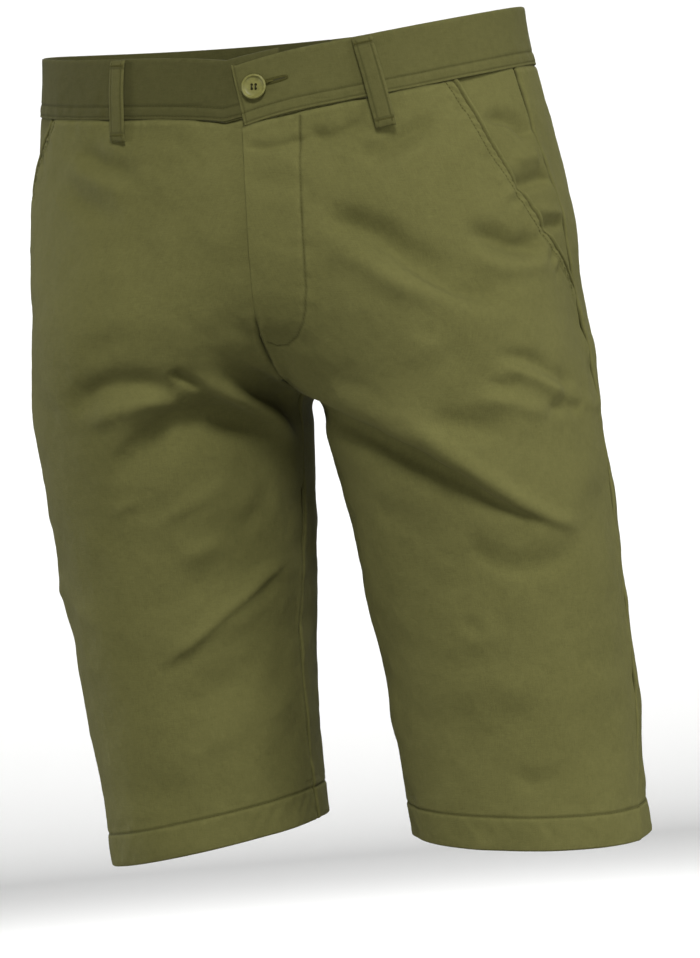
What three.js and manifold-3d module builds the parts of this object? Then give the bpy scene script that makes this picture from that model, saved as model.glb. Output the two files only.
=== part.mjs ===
// Flat front shorts in cotton twill, in the hollow shape that they keep when worn.
//
// Millimetres. +X is the wearer's left, the front faces -Y and +Z is up. The origin is the centre of the
// waist opening, level with the waistband's top edge at the side seams. The pelvis stands upright, and
// both legs lean a little backwards and to the wearer's left.
//
// All panels lie on one surface: two legs of rounded section, blended where they meet, with the folds of
// the cloth added to it. A panel is a grid of points on that surface between its seams, and a wall inside.

import * as THREE from "three";
import { mergeVertices } from "three/addons/utils/BufferGeometryUtils.js";
import Module from "manifold-3d";

// ---------------------------------------------------------------- driving sizes

const CLOTH = 1.2; // wall of one layer of twill with its seam allowances pressed behind it
const HEM_WALL = 2.0; // wall where the hem is turned up inside
const HEM_HEIGHT = 22;
const BAND_WALL = 2.0; // waistband, folded double over its interlining
const BAND_HEIGHT = 38;
const BAND_PROUD = 0.7; // the band's face stands this far outside the panels
const SEAM_GAP = 0.3;
const PLY = CLOTH + 0.4; // a layer and the air between it and the one below
const UNDER_END = 32; // how far the lower end of the waistband passes the centre front
const UNDER_WING = 5; // how far the lower front reaches under the fly
const FLY_LIFT_WIDTH = 46;
const FLY_END = -186; // height where the fly opening is sewn shut
const MOUTH_END = -183; // height where the pocket mouth meets the side seam
const POCKET_TUCK = 22; // how far the pocket facing reaches behind the front
const POCKET_DEPTH = 2.2; // how far its face lies behind the front's face there
const POCKET_END = -202;
const MOUTH_GAPE = 2.6;
const LOOP = { width: 11.4, wall: 1.5, belt: 2.4 };
const BUTTON = { radius: 8.2, height: 3, rim: 1.7, hole: 0.95, spacing: 2.6, x: 16, below: 18 };

const POWER = 2.15; // roundness of a section: 2 is an ellipse
const PIVOT = { y: 5, z: -100 }; // the crotch seam turns about this point
const FRONT = -1;
const BACK = 1;
const LEFT = 1;
const RIGHT = -1;

// ---------------------------------------------------------------- tables

/** Rows of numbers with their columns named. */
function rows(names, data) {
  return data.map((row) => Object.fromEntries(names.map((name, i) => [name, row[i]])));
}

/** A smooth curve through one column of a table whose first column is a falling height. */
function curve(table, key) {
  const z = table.map((row) => row.z);
  const v = table.map((row) => row[key]);
  const last = z.length - 1;
  const rise = z.slice(1).map((_, i) => (v[i + 1] - v[i]) / (z[i + 1] - z[i]));
  const slope = z.map((_, i) => (rise[Math.max(i - 1, 0)] + rise[Math.min(i, last - 1)]) / 2);
  return (height) => {
    const q = Math.min(Math.max(height, z[last]), z[0]);
    let i = 0;
    while (i < last - 1 && q < z[i + 1]) i += 1;
    const span = z[i + 1] - z[i];
    const t = (q - z[i]) / span;
    const a = v[i] * (2 * t ** 3 - 3 * t ** 2 + 1) + slope[i] * span * (t ** 3 - 2 * t ** 2 + t);
    return a + v[i + 1] * (3 * t ** 2 - 2 * t ** 3) + slope[i + 1] * span * (t ** 3 - t ** 2);
  };
}

// Each leg's section at a height: its centre (x is outwards), and its reach outwards, inwards, to the
// front and to the back. Above the crotch the two sections overlap and make one hip section.
const SECTION = ["z", "x", "y", "out", "inn", "front", "back"];
const HIPS = [
  [12, 0, 0, 163, 163, 112, 112],
  [0, 0, 0, 163, 163, 112, 112],
  [-48, 14, 2, 157, 163, 116, 120],
  [-100, 40, 5, 139, 158, 124, 131],
  [-150, 64, 7, 119, 151, 130, 133],
  [-190, 81, 8, 104, 138, 130, 128],
  [-220, 91, 9, 97, 104, 122, 119],
];
const RIGHT_LEG = [
  [-238, 95, 10, 95, 86.5, 115, 113],
  [-262, 97, 11, 93, 86.5, 109, 108],
  [-300, 100, 14, 90, 86.3, 100, 100],
  [-360, 102, 20, 85, 83.2, 92, 92],
  [-420, 102, 25, 79, 78, 87, 86],
  [-480, 101, 29, 75, 74, 84, 83],
  [-545, 100, 31, 73, 73, 83, 82],
];
const LEFT_LEG = [
  [-238, 95, 10, 94, 92, 115, 113],
  [-262, 99, 11, 91, 89.5, 109, 108],
  [-300, 104, 15, 87, 86.5, 100, 100],
  [-360, 110, 20, 84, 85.5, 92, 92],
  [-420, 114, 25, 82, 83, 87, 87],
  [-480, 117, 29, 79, 80, 83, 84],
  [-565, 120, 31, 78, 79, 82, 83],
];

// How far the two legs' sections are blended into each other.
const BLEND = rows(["z", "k"], [
  [12, 2], [0, 2], [-48, 14], [-100, 34], [-150, 46], [-190, 40], [-220, 20], [-238, 5], [-262, 3], [-565, 2],
]);

// Where the seams run, in degrees about a leg's centre: 0 inwards, 90 to the front, 180 outwards.
const SEAM = ["z", "side", "inseam"];
const LEFT_SEAMS = rows(SEAM, [
  [-40, 168.5, 4], [-100, 170.5, 4], [-140, 177, 4], [-183, 181, 4], [-250, 187, 4],
  [-330, 189, 4], [-385, 189, 4], [-450, 184, 4], [-545, 167, 2],
]);
const RIGHT_SEAMS = rows(SEAM, [
  [-40, 176, 4], [-100, 180, 4], [-183, 184, 4], [-250, 184, 3], [-300, 184, 3],
  [-344, 183, 7], [-400, 182, 11], [-450, 181, 11], [-500, 180, 7], [-545, 179, 3],
]);

// The slanted mouths of the front pockets, in the same degrees. The right one runs outwards sooner.
const MOUTHS = {
  [LEFT]: rows(["z", "angle"], [
    [-47, 148.6], [-76, 150.2], [-104, 152.3], [-128, 155.9], [-155, 163.5], [MOUTH_END, 181],
  ]),
  [RIGHT]: rows(["z", "angle"], [
    [-47, 152], [-60, 156], [-76, 160.5], [-104, 167], [-128, 171.5], [-155, 177], [MOUTH_END, 184],
  ]),
};

// The free edge of the fly lies a little past the centre front and runs into the crotch seam.
const FLY = rows(["z", "x"], [[-60, 7.5], [-110, 7], [-150, 6], [-180, 4], [-200, 1.2], [-212, 0.15]]);

// Folds of the cloth, drawn on a plane that faces the given way, in degrees about +Z from the front. Each
// runs from one end (across, z) to the other, bowed upwards by "bow", and is highest at "peak" along its
// length. Its height falls off over "above" and "below". "sink" lowers the cloth under its lower edge
// over "width". A fold with a height below zero is a trough.
const FOLD = ["a0", "z0", "a1", "z1", "bow", "peak", "above", "below", "height", "sink", "width"];
const FOLDS = [
  {
    facing: 17,
    table: rows(FOLD, [
      [-6, -232, 172, -345, -1, 0.42, 30, 5, 9.5, 0, 1],
      [-14, -235, 132, -328, -1, 0.3, 7.5, 11, -9.0, 0, 1],
      [18, -122, 160, -182, -8, 0.6, 20, 15, -4.6, 0, 1],
      [22, -136, 142, -190, -14, 0.5, 13, 13, 2.4, 0, 1],
      [62, -258, 134, -276, 0, 0.5, 11, 10, -3.4, 0, 1],
      [74, -202, 114, -248, 0, 0.5, 15, 13, -1.6, 0, 1],
      [-156, -248, -76, -230, -2, 0.6, 9, 9, 4.0, 0, 1],
      [-152, -314, 4, -314, 62, 0.5, 13, 22, -8.6, 0, 1],
      [-64, -197, 10, -241, 0, 0.7, 14, 5, 4.0, 7, 8],
      [-74, -220, -4, -271, 4, 0.5, 8, 8, 2.6, 0, 1],
      [-142, -414, -14, -338, -15, 0.6, 12, 8, 3.6, 0, 1],
      [-156, -376, -28, -322, -10, 0.5, 15, 13, -2.2, 0, 1],
      [76, -322, 176, -346, -26, 0.5, 13, 13, -2.4, 0, 1],
      [62, -362, 120, -424, 0, 0.5, 15, 15, 1.8, 0, 1],
      [88, -476, 142, -446, 0, 0.5, 11, 11, -1.8, 0, 1],
    ]),
  },
  {
    facing: 180,
    table: rows(FOLD, [
      [-8, -226, -142, -290, 0, 0.4, 30, 9, 5.4, 4, 14],
      [8, -226, 134, -280, 2, 0.45, 30, 9, 5.0, 3.6, 14],
      [-24, -146, -134, -178, 0, 0.5, 24, 20, -2.8, 0, 1],
      [32, -140, 128, -176, 4, 0.5, 24, 20, -2.6, 0, 1],
      [-34, -330, -150, -372, 0, 0.4, 18, 15, 2.6, 0, 1],
      [38, -356, 150, -326, -6, 0.6, 18, 15, 2.8, 0, 1],
      [-50, -420, -140, -402, 0, 0.5, 18, 16, -2.0, 0, 1],
    ]),
  },
  {
    facing: -90,
    table: rows(FOLD, [
      [-40, -240, 60, -262, 6, 0.5, 18, 16, 2.2, 0, 1],
      [-50, -372, 60, -392, -6, 0.4, 18, 16, -2.0, 0, 1],
    ]),
  },
];

// ---------------------------------------------------------------- the surface

const curves = (names, data) => {
  const table = rows(names, data);
  return Object.fromEntries(names.slice(1).map((name) => [name, curve(table, name)]));
};
const LEGS = {
  [LEFT]: curves(SECTION, [...HIPS, ...LEFT_LEG]),
  [RIGHT]: curves(SECTION, [...HIPS, ...RIGHT_LEG]),
};
const SIDE_SEAM = { [LEFT]: curve(LEFT_SEAMS, "side"), [RIGHT]: curve(RIGHT_SEAMS, "side") };
const INSEAM = { [LEFT]: curve(LEFT_SEAMS, "inseam"), [RIGHT]: curve(RIGHT_SEAMS, "inseam") };
const MOUTH = { [LEFT]: curve(MOUTHS[LEFT], "angle"), [RIGHT]: curve(MOUTHS[RIGHT], "angle") };
const flyEdge = curve(FLY, "x");
const blend = curve(BLEND, "k");

const radians = THREE.MathUtils.degToRad;
const lerp = THREE.MathUtils.lerp;
const smooth = THREE.MathUtils.smoothstep;
const clamp = THREE.MathUtils.clamp;

/** Roughly the distance outside one leg's section, in millimetres. */
function leg(side, x, y, z) {
  const size = LEGS[side];
  const dx = x * side - size.x(z);
  const dy = y - size.y(z);
  const rx = dx > 0 ? size.out(z) : size.inn(z);
  const ry = dy < 0 ? size.front(z) : size.back(z);
  const rho = (Math.abs(dx / rx) ** POWER + Math.abs(dy / ry) ** POWER) ** (1 / POWER);
  return (rho - 1) * Math.min(rx, ry);
}

/** Height of one fold at a point on the plane that it is drawn on. */
function foldHeight(fold, across, z) {
  const length = Math.hypot(fold.a1 - fold.a0, fold.z1 - fold.z0);
  const ua = (fold.a1 - fold.a0) / length;
  const uz = (fold.z1 - fold.z0) / length;
  const t = ((across - fold.a0) * ua + (z - fold.z0) * uz) / length;
  const straight = ((z - fold.z0) * ua - (across - fold.a0) * uz) * Math.sign(ua);
  const off = straight - 4 * fold.bow * t * (1 - t);
  const along = smooth(t, 0, fold.peak) * (1 - smooth(t, fold.peak, 1));
  const ridge = Math.exp(-((off / (off > 0 ? fold.above : fold.below)) ** 2));
  const trough = Math.exp(-(((off + fold.below + fold.width) / fold.width) ** 2));
  return along * (fold.height * ridge - fold.sink * trough);
}

/** All folds at a point of the surface. */
function folds(x, y, z) {
  let height = 0;
  for (const { facing, table } of FOLDS) {
    const c = Math.cos(radians(facing));
    const s = Math.sin(radians(facing));
    const weight = smooth((x * s - (y - 10) * c) / 90, 0.05, 0.45);
    if (weight === 0) continue;
    for (const fold of table) height += weight * foldHeight(fold, x * c + y * s, z);
  }
  return height;
}

/** The cloth's outer face is where this is zero; it is negative inside. */
function cloth(x, y, z) {
  const a = leg(LEFT, x, y, z);
  const b = leg(RIGHT, x, y, z);
  const k = blend(z);
  const h = Math.max(k - Math.abs(a - b), 0);
  return Math.min(a, b) - (h * h) / (4 * k) - folds(x, y, z);
}

/** Where a line from inside the garment leaves the cloth. */
function leave(origin, direction, reach) {
  let near = 0;
  let far = reach;
  for (let i = 0; i < 30; i += 1) {
    const middle = (near + far) / 2;
    const p = direction.clone().multiplyScalar(middle).add(origin);
    if (cloth(p.x, p.y, p.z) < 0) near = middle;
    else far = middle;
  }
  return direction.clone().multiplyScalar(near).add(origin);
}

/** A point of the surface at an angle (degrees) about a leg's centre, and at a height. */
function at(side, angle, z) {
  const size = LEGS[side];
  const inward = Math.cos(radians(angle));
  const direction = new THREE.Vector3(-side * inward, -Math.sin(radians(angle)), 0);
  const past = z > FLY_END - 14 ? UNDER_END + 4 : -SEAM_GAP / 2;
  const reach = inward > 0 ? Math.min(330, (size.x(z) + past) / inward) : 330;
  return leave(new THREE.Vector3(side * size.x(z), size.y(z), z), direction, reach);
}

/** The outward normal of the cloth. */
function normal(p) {
  const d = 0.5;
  return new THREE.Vector3(
    cloth(p.x + d, p.y, p.z) - cloth(p.x - d, p.y, p.z),
    cloth(p.x, p.y + d, p.z) - cloth(p.x, p.y - d, p.z),
    cloth(p.x, p.y, p.z + d) - cloth(p.x, p.y, p.z - d),
  ).normalize();
}

/** The angle about a leg's centre at which a point lies, from -180 to 180. */
function angleOf(side, p) {
  const size = LEGS[side];
  return THREE.MathUtils.radToDeg(Math.atan2(size.y(p.z) - p.y, size.x(p.z) - side * p.x));
}

/** The surface at a given x, on the front or the back. */
function centreline(face, x, z) {
  return leave(new THREE.Vector3(x, 0, z), new THREE.Vector3(0, face, 0), 200);
}

// ---------------------------------------------------------------- edges

/** The waistband's top edge falls to the centre front, most on its upper end, and rises at the back. */
function waistTop(side, x, y) {
  const forward = -y / 112;
  const dip = 8 * Math.exp(-Math.abs(x) / 45);
  const lap = side === LEFT ? 4.5 * Math.exp(-Math.abs(x) / 90) : 0;
  return 3 - x / 160 - 11 * forward - 7 * forward ** 2 - (dip + lap) * Math.max(forward, 0);
}

/** The hems are cut almost level, a little lower on the outside. */
function hemHeight(side, p) {
  const size = LEGS[side];
  const out = (p.x * side - size.x(-540)) / 79;
  const back = (p.y - size.y(-540)) / 79;
  return side === LEFT ? -540 - 7 * out + 4 * back : -532.5 - 11 * out + 4 * back;
}

/** Height of a panel's top edge, just below the waistband. */
function panelTop(side, angle) {
  const p = at(side, angle, -50);
  return waistTop(side, p.x, p.y) - BAND_HEIGHT - SEAM_GAP;
}

const panelHem = (side, angle) => hemHeight(side, at(side, angle, -540));

/** How far past the centre a front's edge lies at a height: the left one laps over the right one. */
function centreEdge(side, face, z) {
  if (face === BACK) return (side * SEAM_GAP) / 2;
  if (side === LEFT) return flyEdge(z);
  return flyEdge(z) - SEAM_GAP + UNDER_WING * smooth(z, FLY_END + 18, FLY_END + 38);
}

/** A point of the crotch seam, from the waist (0) to where the inseams start (1). */
function rise(side, face, t) {
  let top = centreline(face, centreEdge(side, face, -60), -60);
  for (let i = 0; i < 8; i += 1) {
    const z = panelTop(side, angleOf(side, top));
    top = centreline(face, centreEdge(side, face, z), z);
  }
  const start = Math.atan2(top.z - PIVOT.z, top.y - PIVOT.y);
  const end = face === FRONT ? radians(270) : radians(-90);
  const angle = lerp(start, end, t);
  const direction = new THREE.Vector3(0, Math.cos(angle), Math.sin(angle));
  let p = top;
  for (let i = 0; i < 4; i += 1) {
    p = leave(new THREE.Vector3(centreEdge(side, face, p.z), PIVOT.y, PIVOT.z), direction, 190);
  }
  return p;
}

/** The seam on the leg's inner edge of a panel, as an angle and a height at a level from 0 to 1. */
function innerEdge(side, face, level) {
  const crotch = 0.45;
  if (level <= crotch) {
    const p = rise(side, face, level / crotch);
    return { angle: angleOf(side, p), z: p.z };
  }
  const low = rise(side, face, 1).z;
  const t = (level - crotch) / (1 - crotch);
  const z = lerp(low, panelHem(side, INSEAM[side](-540)), t);
  const trim = (face * THREE.MathUtils.radToDeg(SEAM_GAP / 2)) / LEGS[side].inn(z);
  return { angle: INSEAM[side](z) - trim * smooth(t, 0, 0.03), z };
}

/** The seam or pocket mouth on the outer edge of a panel, as an angle and a height. */
function outerEdge(side, face, level) {
  const top = panelTop(side, SIDE_SEAM[side](-40));
  const z = lerp(top, panelHem(side, SIDE_SEAM[side](-540)), level);
  const trim = THREE.MathUtils.radToDeg(SEAM_GAP / 2) / LEGS[side].out(z);
  if (face === BACK) return { angle: SIDE_SEAM[side](z) - 360 + trim, z };
  const drop = (panelTop(side, MOUTH[side](-47)) - top) * (1 - smooth(level, 0, 0.25));
  const seam = SIDE_SEAM[side](z) - trim;
  return { angle: z + drop > MOUTH_END ? Math.min(MOUTH[side](z + drop), seam) : seam, z: z + drop };
}

// ---------------------------------------------------------------- walls

/** Turns a closed surface into a mesh geometry with shared corners. */
function solid(positions, faces) {
  const geometry = new THREE.BufferGeometry();
  geometry.setAttribute("position", new THREE.Float32BufferAttribute(positions.flatMap((p) => p.toArray()), 3));
  geometry.setIndex(faces.flat());
  return mergeVertices(geometry, 1e-3);
}

/** Closes two grids of points, an outer and an inner one, into a wall. Grids are lists of rows. */
function wall(outer, inner, flipped) {
  const high = outer.length;
  const wide = outer[0].length;
  const faces = [];
  const quad = (a, b, c, d) => {
    if (flipped) faces.push([a, c, b], [a, d, c]);
    else faces.push([a, b, c], [a, c, d]);
  };
  const out = (i, j) => i * wide + j;
  const inn = (i, j) => high * wide + i * wide + j;
  for (let i = 0; i < high - 1; i += 1) {
    for (let j = 0; j < wide - 1; j += 1) {
      quad(out(i, j), out(i + 1, j), out(i + 1, j + 1), out(i, j + 1));
      quad(inn(i, j), inn(i, j + 1), inn(i + 1, j + 1), inn(i + 1, j));
    }
    quad(out(i, 0), inn(i, 0), inn(i + 1, 0), out(i + 1, 0));
    quad(out(i, wide - 1), out(i + 1, wide - 1), inn(i + 1, wide - 1), inn(i, wide - 1));
  }
  for (let j = 0; j < wide - 1; j += 1) {
    quad(out(0, j), out(0, j + 1), inn(0, j + 1), inn(0, j));
    quad(out(high - 1, j), inn(high - 1, j), inn(high - 1, j + 1), out(high - 1, j + 1));
  }
  return solid([...outer.flat(), ...inner.flat()], faces);
}

/** A wall whose grid is given by a surface point, how far it is moved out, and its thickness. */
function sheet(levels, columns, flipped, place) {
  const outer = [];
  const inner = [];
  for (const level of levels) {
    const spots = columns.map((u) => {
      const { point, lift = 0, thick = CLOTH } = place(u, level);
      const n = normal(point);
      return { out: point.clone().addScaledVector(n, lift), inn: point.clone().addScaledVector(n, lift - thick) };
    });
    outer.push(spots.map((spot) => spot.out));
    inner.push(spots.map((spot) => spot.inn));
  }
  return wall(outer, inner, flipped);
}

const evenly = (count, from = 0, to = 1) => Array.from({ length: count + 1 }, (_, i) => lerp(from, to, i / count));

// ---------------------------------------------------------------- panels

/** How far the left front stands out where it laps over the right one. */
function flyLift(side, p) {
  if (side === RIGHT) return 0;
  const across = 1 - smooth(p.x, 16, 16 + FLY_LIFT_WIDTH);
  const front = p.y < 0 ? 1 : 0;
  return front * across * PLY * smooth(p.z, FLY_END - 18, FLY_END + 4);
}

/** How far the pocket mouth stands away from the facing behind it. */
function mouthLift(side, angle, z) {
  const near = smooth(angle, MOUTH[side](z) - 14, MOUTH[side](z));
  const middle = Math.exp(-(((z + 146) / 30) ** 2));
  return z > MOUTH_END ? MOUTH_GAPE * near * middle : 0;
}

// Levels of a panel's rows, from its top edge (0) to its hem (1). They are closer where the large folds
// lie, and the last two bound the hem.
const HEM_LEVEL = 1 - HEM_HEIGHT / 500;
const LEVELS = [
  ...evenly(10, 0, 0.24).slice(0, -1),
  ...evenly(20, 0.24, 0.62).slice(0, -1),
  ...evenly(9, 0.62, HEM_LEVEL - 0.008),
  HEM_LEVEL,
  1,
];

/** A front or back panel of one leg. */
function panel(side, face, columnCount) {
  const top = (angle) => panelTop(side, angle);
  const bottom = (angle) => panelHem(side, angle);
  return sheet(LEVELS, evenly(columnCount), (side === RIGHT) !== (face === BACK), (u, level) => {
    const inner = innerEdge(side, face, level);
    const outer = outerEdge(side, face, level);
    const angle = lerp(inner.angle, outer.angle, u);
    const high = top(angle) - lerp(top(inner.angle), top(outer.angle), u);
    const low = bottom(angle) - lerp(bottom(inner.angle), bottom(outer.angle), u);
    const z = lerp(inner.z, outer.z, u) + high * (1 - level) ** 4 + low * level ** 4;
    const point = at(side, angle, z);
    const lift = face === FRONT ? flyLift(side, point) + mouthLift(side, angle, z) : 0;
    return { point, lift, thick: level >= HEM_LEVEL ? HEM_WALL : CLOTH };
  });
}

/** The piece seen behind a pocket mouth. It is sunk where the front covers it. */
function pocketFacing(side) {
  const perMillimetre = THREE.MathUtils.radToDeg(1) / 130;
  return sheet(evenly(13), evenly(6), side === RIGHT, (u, level) => {
    const top = panelTop(side, SIDE_SEAM[side](-40));
    const edge = lerp(top, POCKET_END, level);
    const trim = perMillimetre * lerp(2, 0.6, smooth(edge, MOUTH_END, MOUTH_END + 14));
    const seam = SIDE_SEAM[side](edge) - trim;
    const angle = lerp(Math.min(MOUTH[side](edge), seam - 2) - POCKET_TUCK * perMillimetre, seam, u);
    const z = edge + (panelTop(side, angle) - top) * (1 - level);
    const shown = clamp((angle - MOUTH[side](z)) / Math.max(seam - MOUTH[side](z), 0.01), 0, 1);
    const raised = smooth(shown, 0.1, 1) * smooth(z, MOUTH_END + 22, MOUTH_END + 50);
    return { point: at(side, angle, z), lift: -POCKET_DEPTH * (1 - raised) };
  });
}

/** A point on the end of a waistband at a level from its top edge (0) to its bottom edge (1). */
function bandEnd(side, face, x, level) {
  const top = centreline(face, x, -12);
  return centreline(face, x, waistTop(side, x, top.y) - BAND_HEIGHT * level);
}

/** One half of the waistband, from the centre back to the fly. The left half laps over the right. */
function waistband(side) {
  return sheet(evenly(3), evenly(30), side === RIGHT, (u, level) => {
    const front = bandEnd(side, FRONT, side === LEFT ? lerp(1.2, 7.4, level) : UNDER_END, level);
    const back = bandEnd(side, BACK, (side * SEAM_GAP) / 2, level);
    const angle = lerp(angleOf(side, front), angleOf(side, back) + 360, u);
    const guess = at(side, angle, lerp(-12, -50, level));
    const z = waistTop(side, guess.x, guess.y) - BAND_HEIGHT * level;
    const point = at(side, angle, z);
    const lap = side === LEFT && point.y < 0 ? 1 - smooth(point.x, UNDER_END + 3, UNDER_END + 40) : 0;
    return { point, lift: BAND_PROUD + lap * (BAND_WALL + 0.4), thick: BAND_WALL };
  });
}

// ---------------------------------------------------------------- belt loops and button

/** Where the belt loops are sewn: x at their top and bottom ends, on the front or the back. */
const LOOPS = rows(["side", "face", "xTop", "xBottom", "length"], [
  [LEFT, FRONT, 84, 97, 61], [RIGHT, FRONT, -79, -81, 53.5], [LEFT, BACK, 92, 94, 57], [RIGHT, BACK, -92, -94, 57],
]);

/** A strip sewn across the waistband at both ends, with room for a belt behind it. */
function beltLoop({ side, face, xTop, xBottom, length }) {
  const across = [-0.5, 0.5].map((u) => u * LOOP.width);
  const levels = evenly(10);
  const grid = (depth) => levels.map((level) => across.map((dx) => {
    const x = lerp(xTop, xBottom, level) + dx;
    const top = centreline(face, x, -10);
    const z = waistTop(side, x, top.y) - 1 - length * level;
    const p = centreline(face, x, z);
    const away = BAND_PROUD + 0.4 + LOOP.belt * Math.sin(Math.PI * level) ** 0.6;
    return p.addScaledVector(normal(p), away + depth);
  }));
  return wall(grid(LOOP.wall), grid(0), face === BACK);
}

/** A four-hole button with a raised rim, turned about its own axis. */
async function buttonGeometry() {
  const { radius, height, rim, hole, spacing } = BUTTON;
  const profile = [
    [0, 0.5], [radius - 1.6, 0.5], [radius - 0.6, 0.9], [radius, 1.7], [radius - 0.2, 2.5], [radius - 0.8, height],
    [radius - rim, height - 0.2], [radius - rim - 0.9, 2.1], [0, 1.9],
  ];
  const disc = new THREE.LatheGeometry(profile.map(([r, z]) => new THREE.Vector2(r, z)), 36).rotateX(Math.PI / 2);
  const wasm = await Module();
  wasm.setup();
  const toManifold = (geometry) => {
    geometry.deleteAttribute("normal");
    geometry.deleteAttribute("uv");
    const merged = mergeVertices(geometry, 1e-4);
    return new wasm.Manifold(new wasm.Mesh({
      numProp: 3,
      vertProperties: merged.attributes.position.array,
      triVerts: new Uint32Array(merged.index.array),
    }));
  };
  let button = toManifold(disc);
  for (const [i, j] of [[1, 1], [1, -1], [-1, 1], [-1, -1]]) {
    const drill = new THREE.CylinderGeometry(hole, hole, 3 * height, 10).rotateX(Math.PI / 2);
    drill.translate((i * spacing) / 2, (j * spacing) / 2, 0);
    button = button.subtract(toManifold(drill));
  }
  const mesh = button.getMesh();
  const geometry = new THREE.BufferGeometry();
  geometry.setAttribute("position", new THREE.Float32BufferAttribute(mesh.vertProperties, 3));
  geometry.setIndex(Array.from(mesh.triVerts));
  return mergeVertices(geometry, 1e-3);
}

// ---------------------------------------------------------------- assembly

const TWILL = new THREE.MeshStandardMaterial({ color: 0x6b6a3b, roughness: 0.9, metalness: 0 });
const PLASTIC = new THREE.MeshStandardMaterial({ color: 0x74713f, roughness: 0.45, metalness: 0 });

const shorts = new THREE.Group();

function add(name, geometry, material = TWILL) {
  const mesh = new THREE.Mesh(geometry, material);
  mesh.name = name;
  shorts.add(mesh);
  return mesh;
}

for (const [name, side] of [["left", LEFT], ["right", RIGHT]]) {
  add(`front_${name}`, panel(side, FRONT, 20));
  add(`back_${name}`, panel(side, BACK, 13));
  add(`pocket_facing_${name}`, pocketFacing(side));
  add(`waistband_${name}`, waistband(side));
}

for (const loop of LOOPS) {
  const name = `${loop.face === FRONT ? "front" : "back"}_${loop.side === LEFT ? "left" : "right"}`;
  add(`belt_loop_${name}`, beltLoop(loop));
}
add("belt_loop_centre_back", beltLoop({ side: LEFT, face: BACK, xTop: 0, xBottom: 0, length: 57 }));

const button = add("waist_button", await buttonGeometry(), PLASTIC);
const buttonTop = centreline(FRONT, BUTTON.x, -20);
const buttonSpot = centreline(FRONT, BUTTON.x, waistTop(LEFT, BUTTON.x, buttonTop.y) - BUTTON.below);
const buttonNormal = normal(buttonSpot);
button.position.copy(buttonSpot).addScaledVector(buttonNormal, BAND_PROUD + BAND_WALL + 0.4);
button.quaternion.setFromUnitVectors(new THREE.Vector3(0, 0, 1), buttonNormal);

export default shorts;
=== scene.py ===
# %% [markdown]
# # Flat front shorts in cotton twill
# The shorts hang in the hollow shape that they keep when worn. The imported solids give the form, and this
# lesson dresses them: finely woven shells with creases, sewn rows, a button and its buttonhole. Every
# length below is in millimetres, because that is how a pattern cutter thinks, and becomes metres only
# when a mesh is made.

# %% Load the frame
import math
import bpy
import numpy as np
from mathutils import Matrix, Vector


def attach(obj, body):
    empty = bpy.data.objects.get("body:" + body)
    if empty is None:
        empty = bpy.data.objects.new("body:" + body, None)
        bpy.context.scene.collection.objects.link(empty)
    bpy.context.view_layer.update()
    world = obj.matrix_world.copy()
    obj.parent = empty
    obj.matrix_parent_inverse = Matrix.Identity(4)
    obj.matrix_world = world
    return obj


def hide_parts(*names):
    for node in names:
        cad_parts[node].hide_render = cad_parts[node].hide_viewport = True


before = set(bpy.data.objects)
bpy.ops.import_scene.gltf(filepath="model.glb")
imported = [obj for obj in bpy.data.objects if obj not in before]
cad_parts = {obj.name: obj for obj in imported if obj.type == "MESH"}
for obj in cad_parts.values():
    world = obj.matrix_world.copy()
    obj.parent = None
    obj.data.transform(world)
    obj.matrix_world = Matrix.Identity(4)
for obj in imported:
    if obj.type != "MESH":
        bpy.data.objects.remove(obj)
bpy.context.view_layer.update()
MM = 0.001

# %% [markdown]
# ## The viewpoint
# The garment is seen from a little to its left side and exactly level, through a long lens, so that
# near and far seams keep almost the same size. The camera leans slightly, which makes the waistband
# climb to the right. A camera looks along its own -Z, so its axes are set out one by one in a matrix.

# %% Camera
VIEW = {"azimuth": 17.0, "distance": 2.8, "height": -0.297, "aside": 0.021, "lean": 4.7, "lens": 157.8}
turn = math.radians(VIEW["azimuth"])
lean = math.radians(VIEW["lean"])
across = Vector((math.cos(turn), math.sin(turn), 0))
ahead = Vector((-math.sin(turn), math.cos(turn), 0))
upward = Vector((0, 0, 1)) * math.cos(lean) + across * math.sin(lean)
spot = across * VIEW["aside"] - ahead * VIEW["distance"] + Vector((0, 0, VIEW["height"]))

camera_data = bpy.data.cameras.new("camera")
camera_data.lens = VIEW["lens"]
camera = bpy.data.objects.new("camera", camera_data)
bpy.context.scene.collection.objects.link(camera)
camera.matrix_world = Matrix.Translation(spot) @ Matrix(
    (ahead.cross(upward), upward, -ahead)).transposed().to_4x4()
bpy.context.scene.camera = camera
print("camera at", [round(v, 3) for v in spot])

# %% [markdown]
# ## The room
# Cloth is judged by its soft shading, so the room is a plain pale bowl: a floor whose edge curves up
# into a wall. A turned profile makes it in one piece, and no corner shows behind the garment. The paper
# looks pale but throws little light back, so that the folds keep their shadows.

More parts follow.
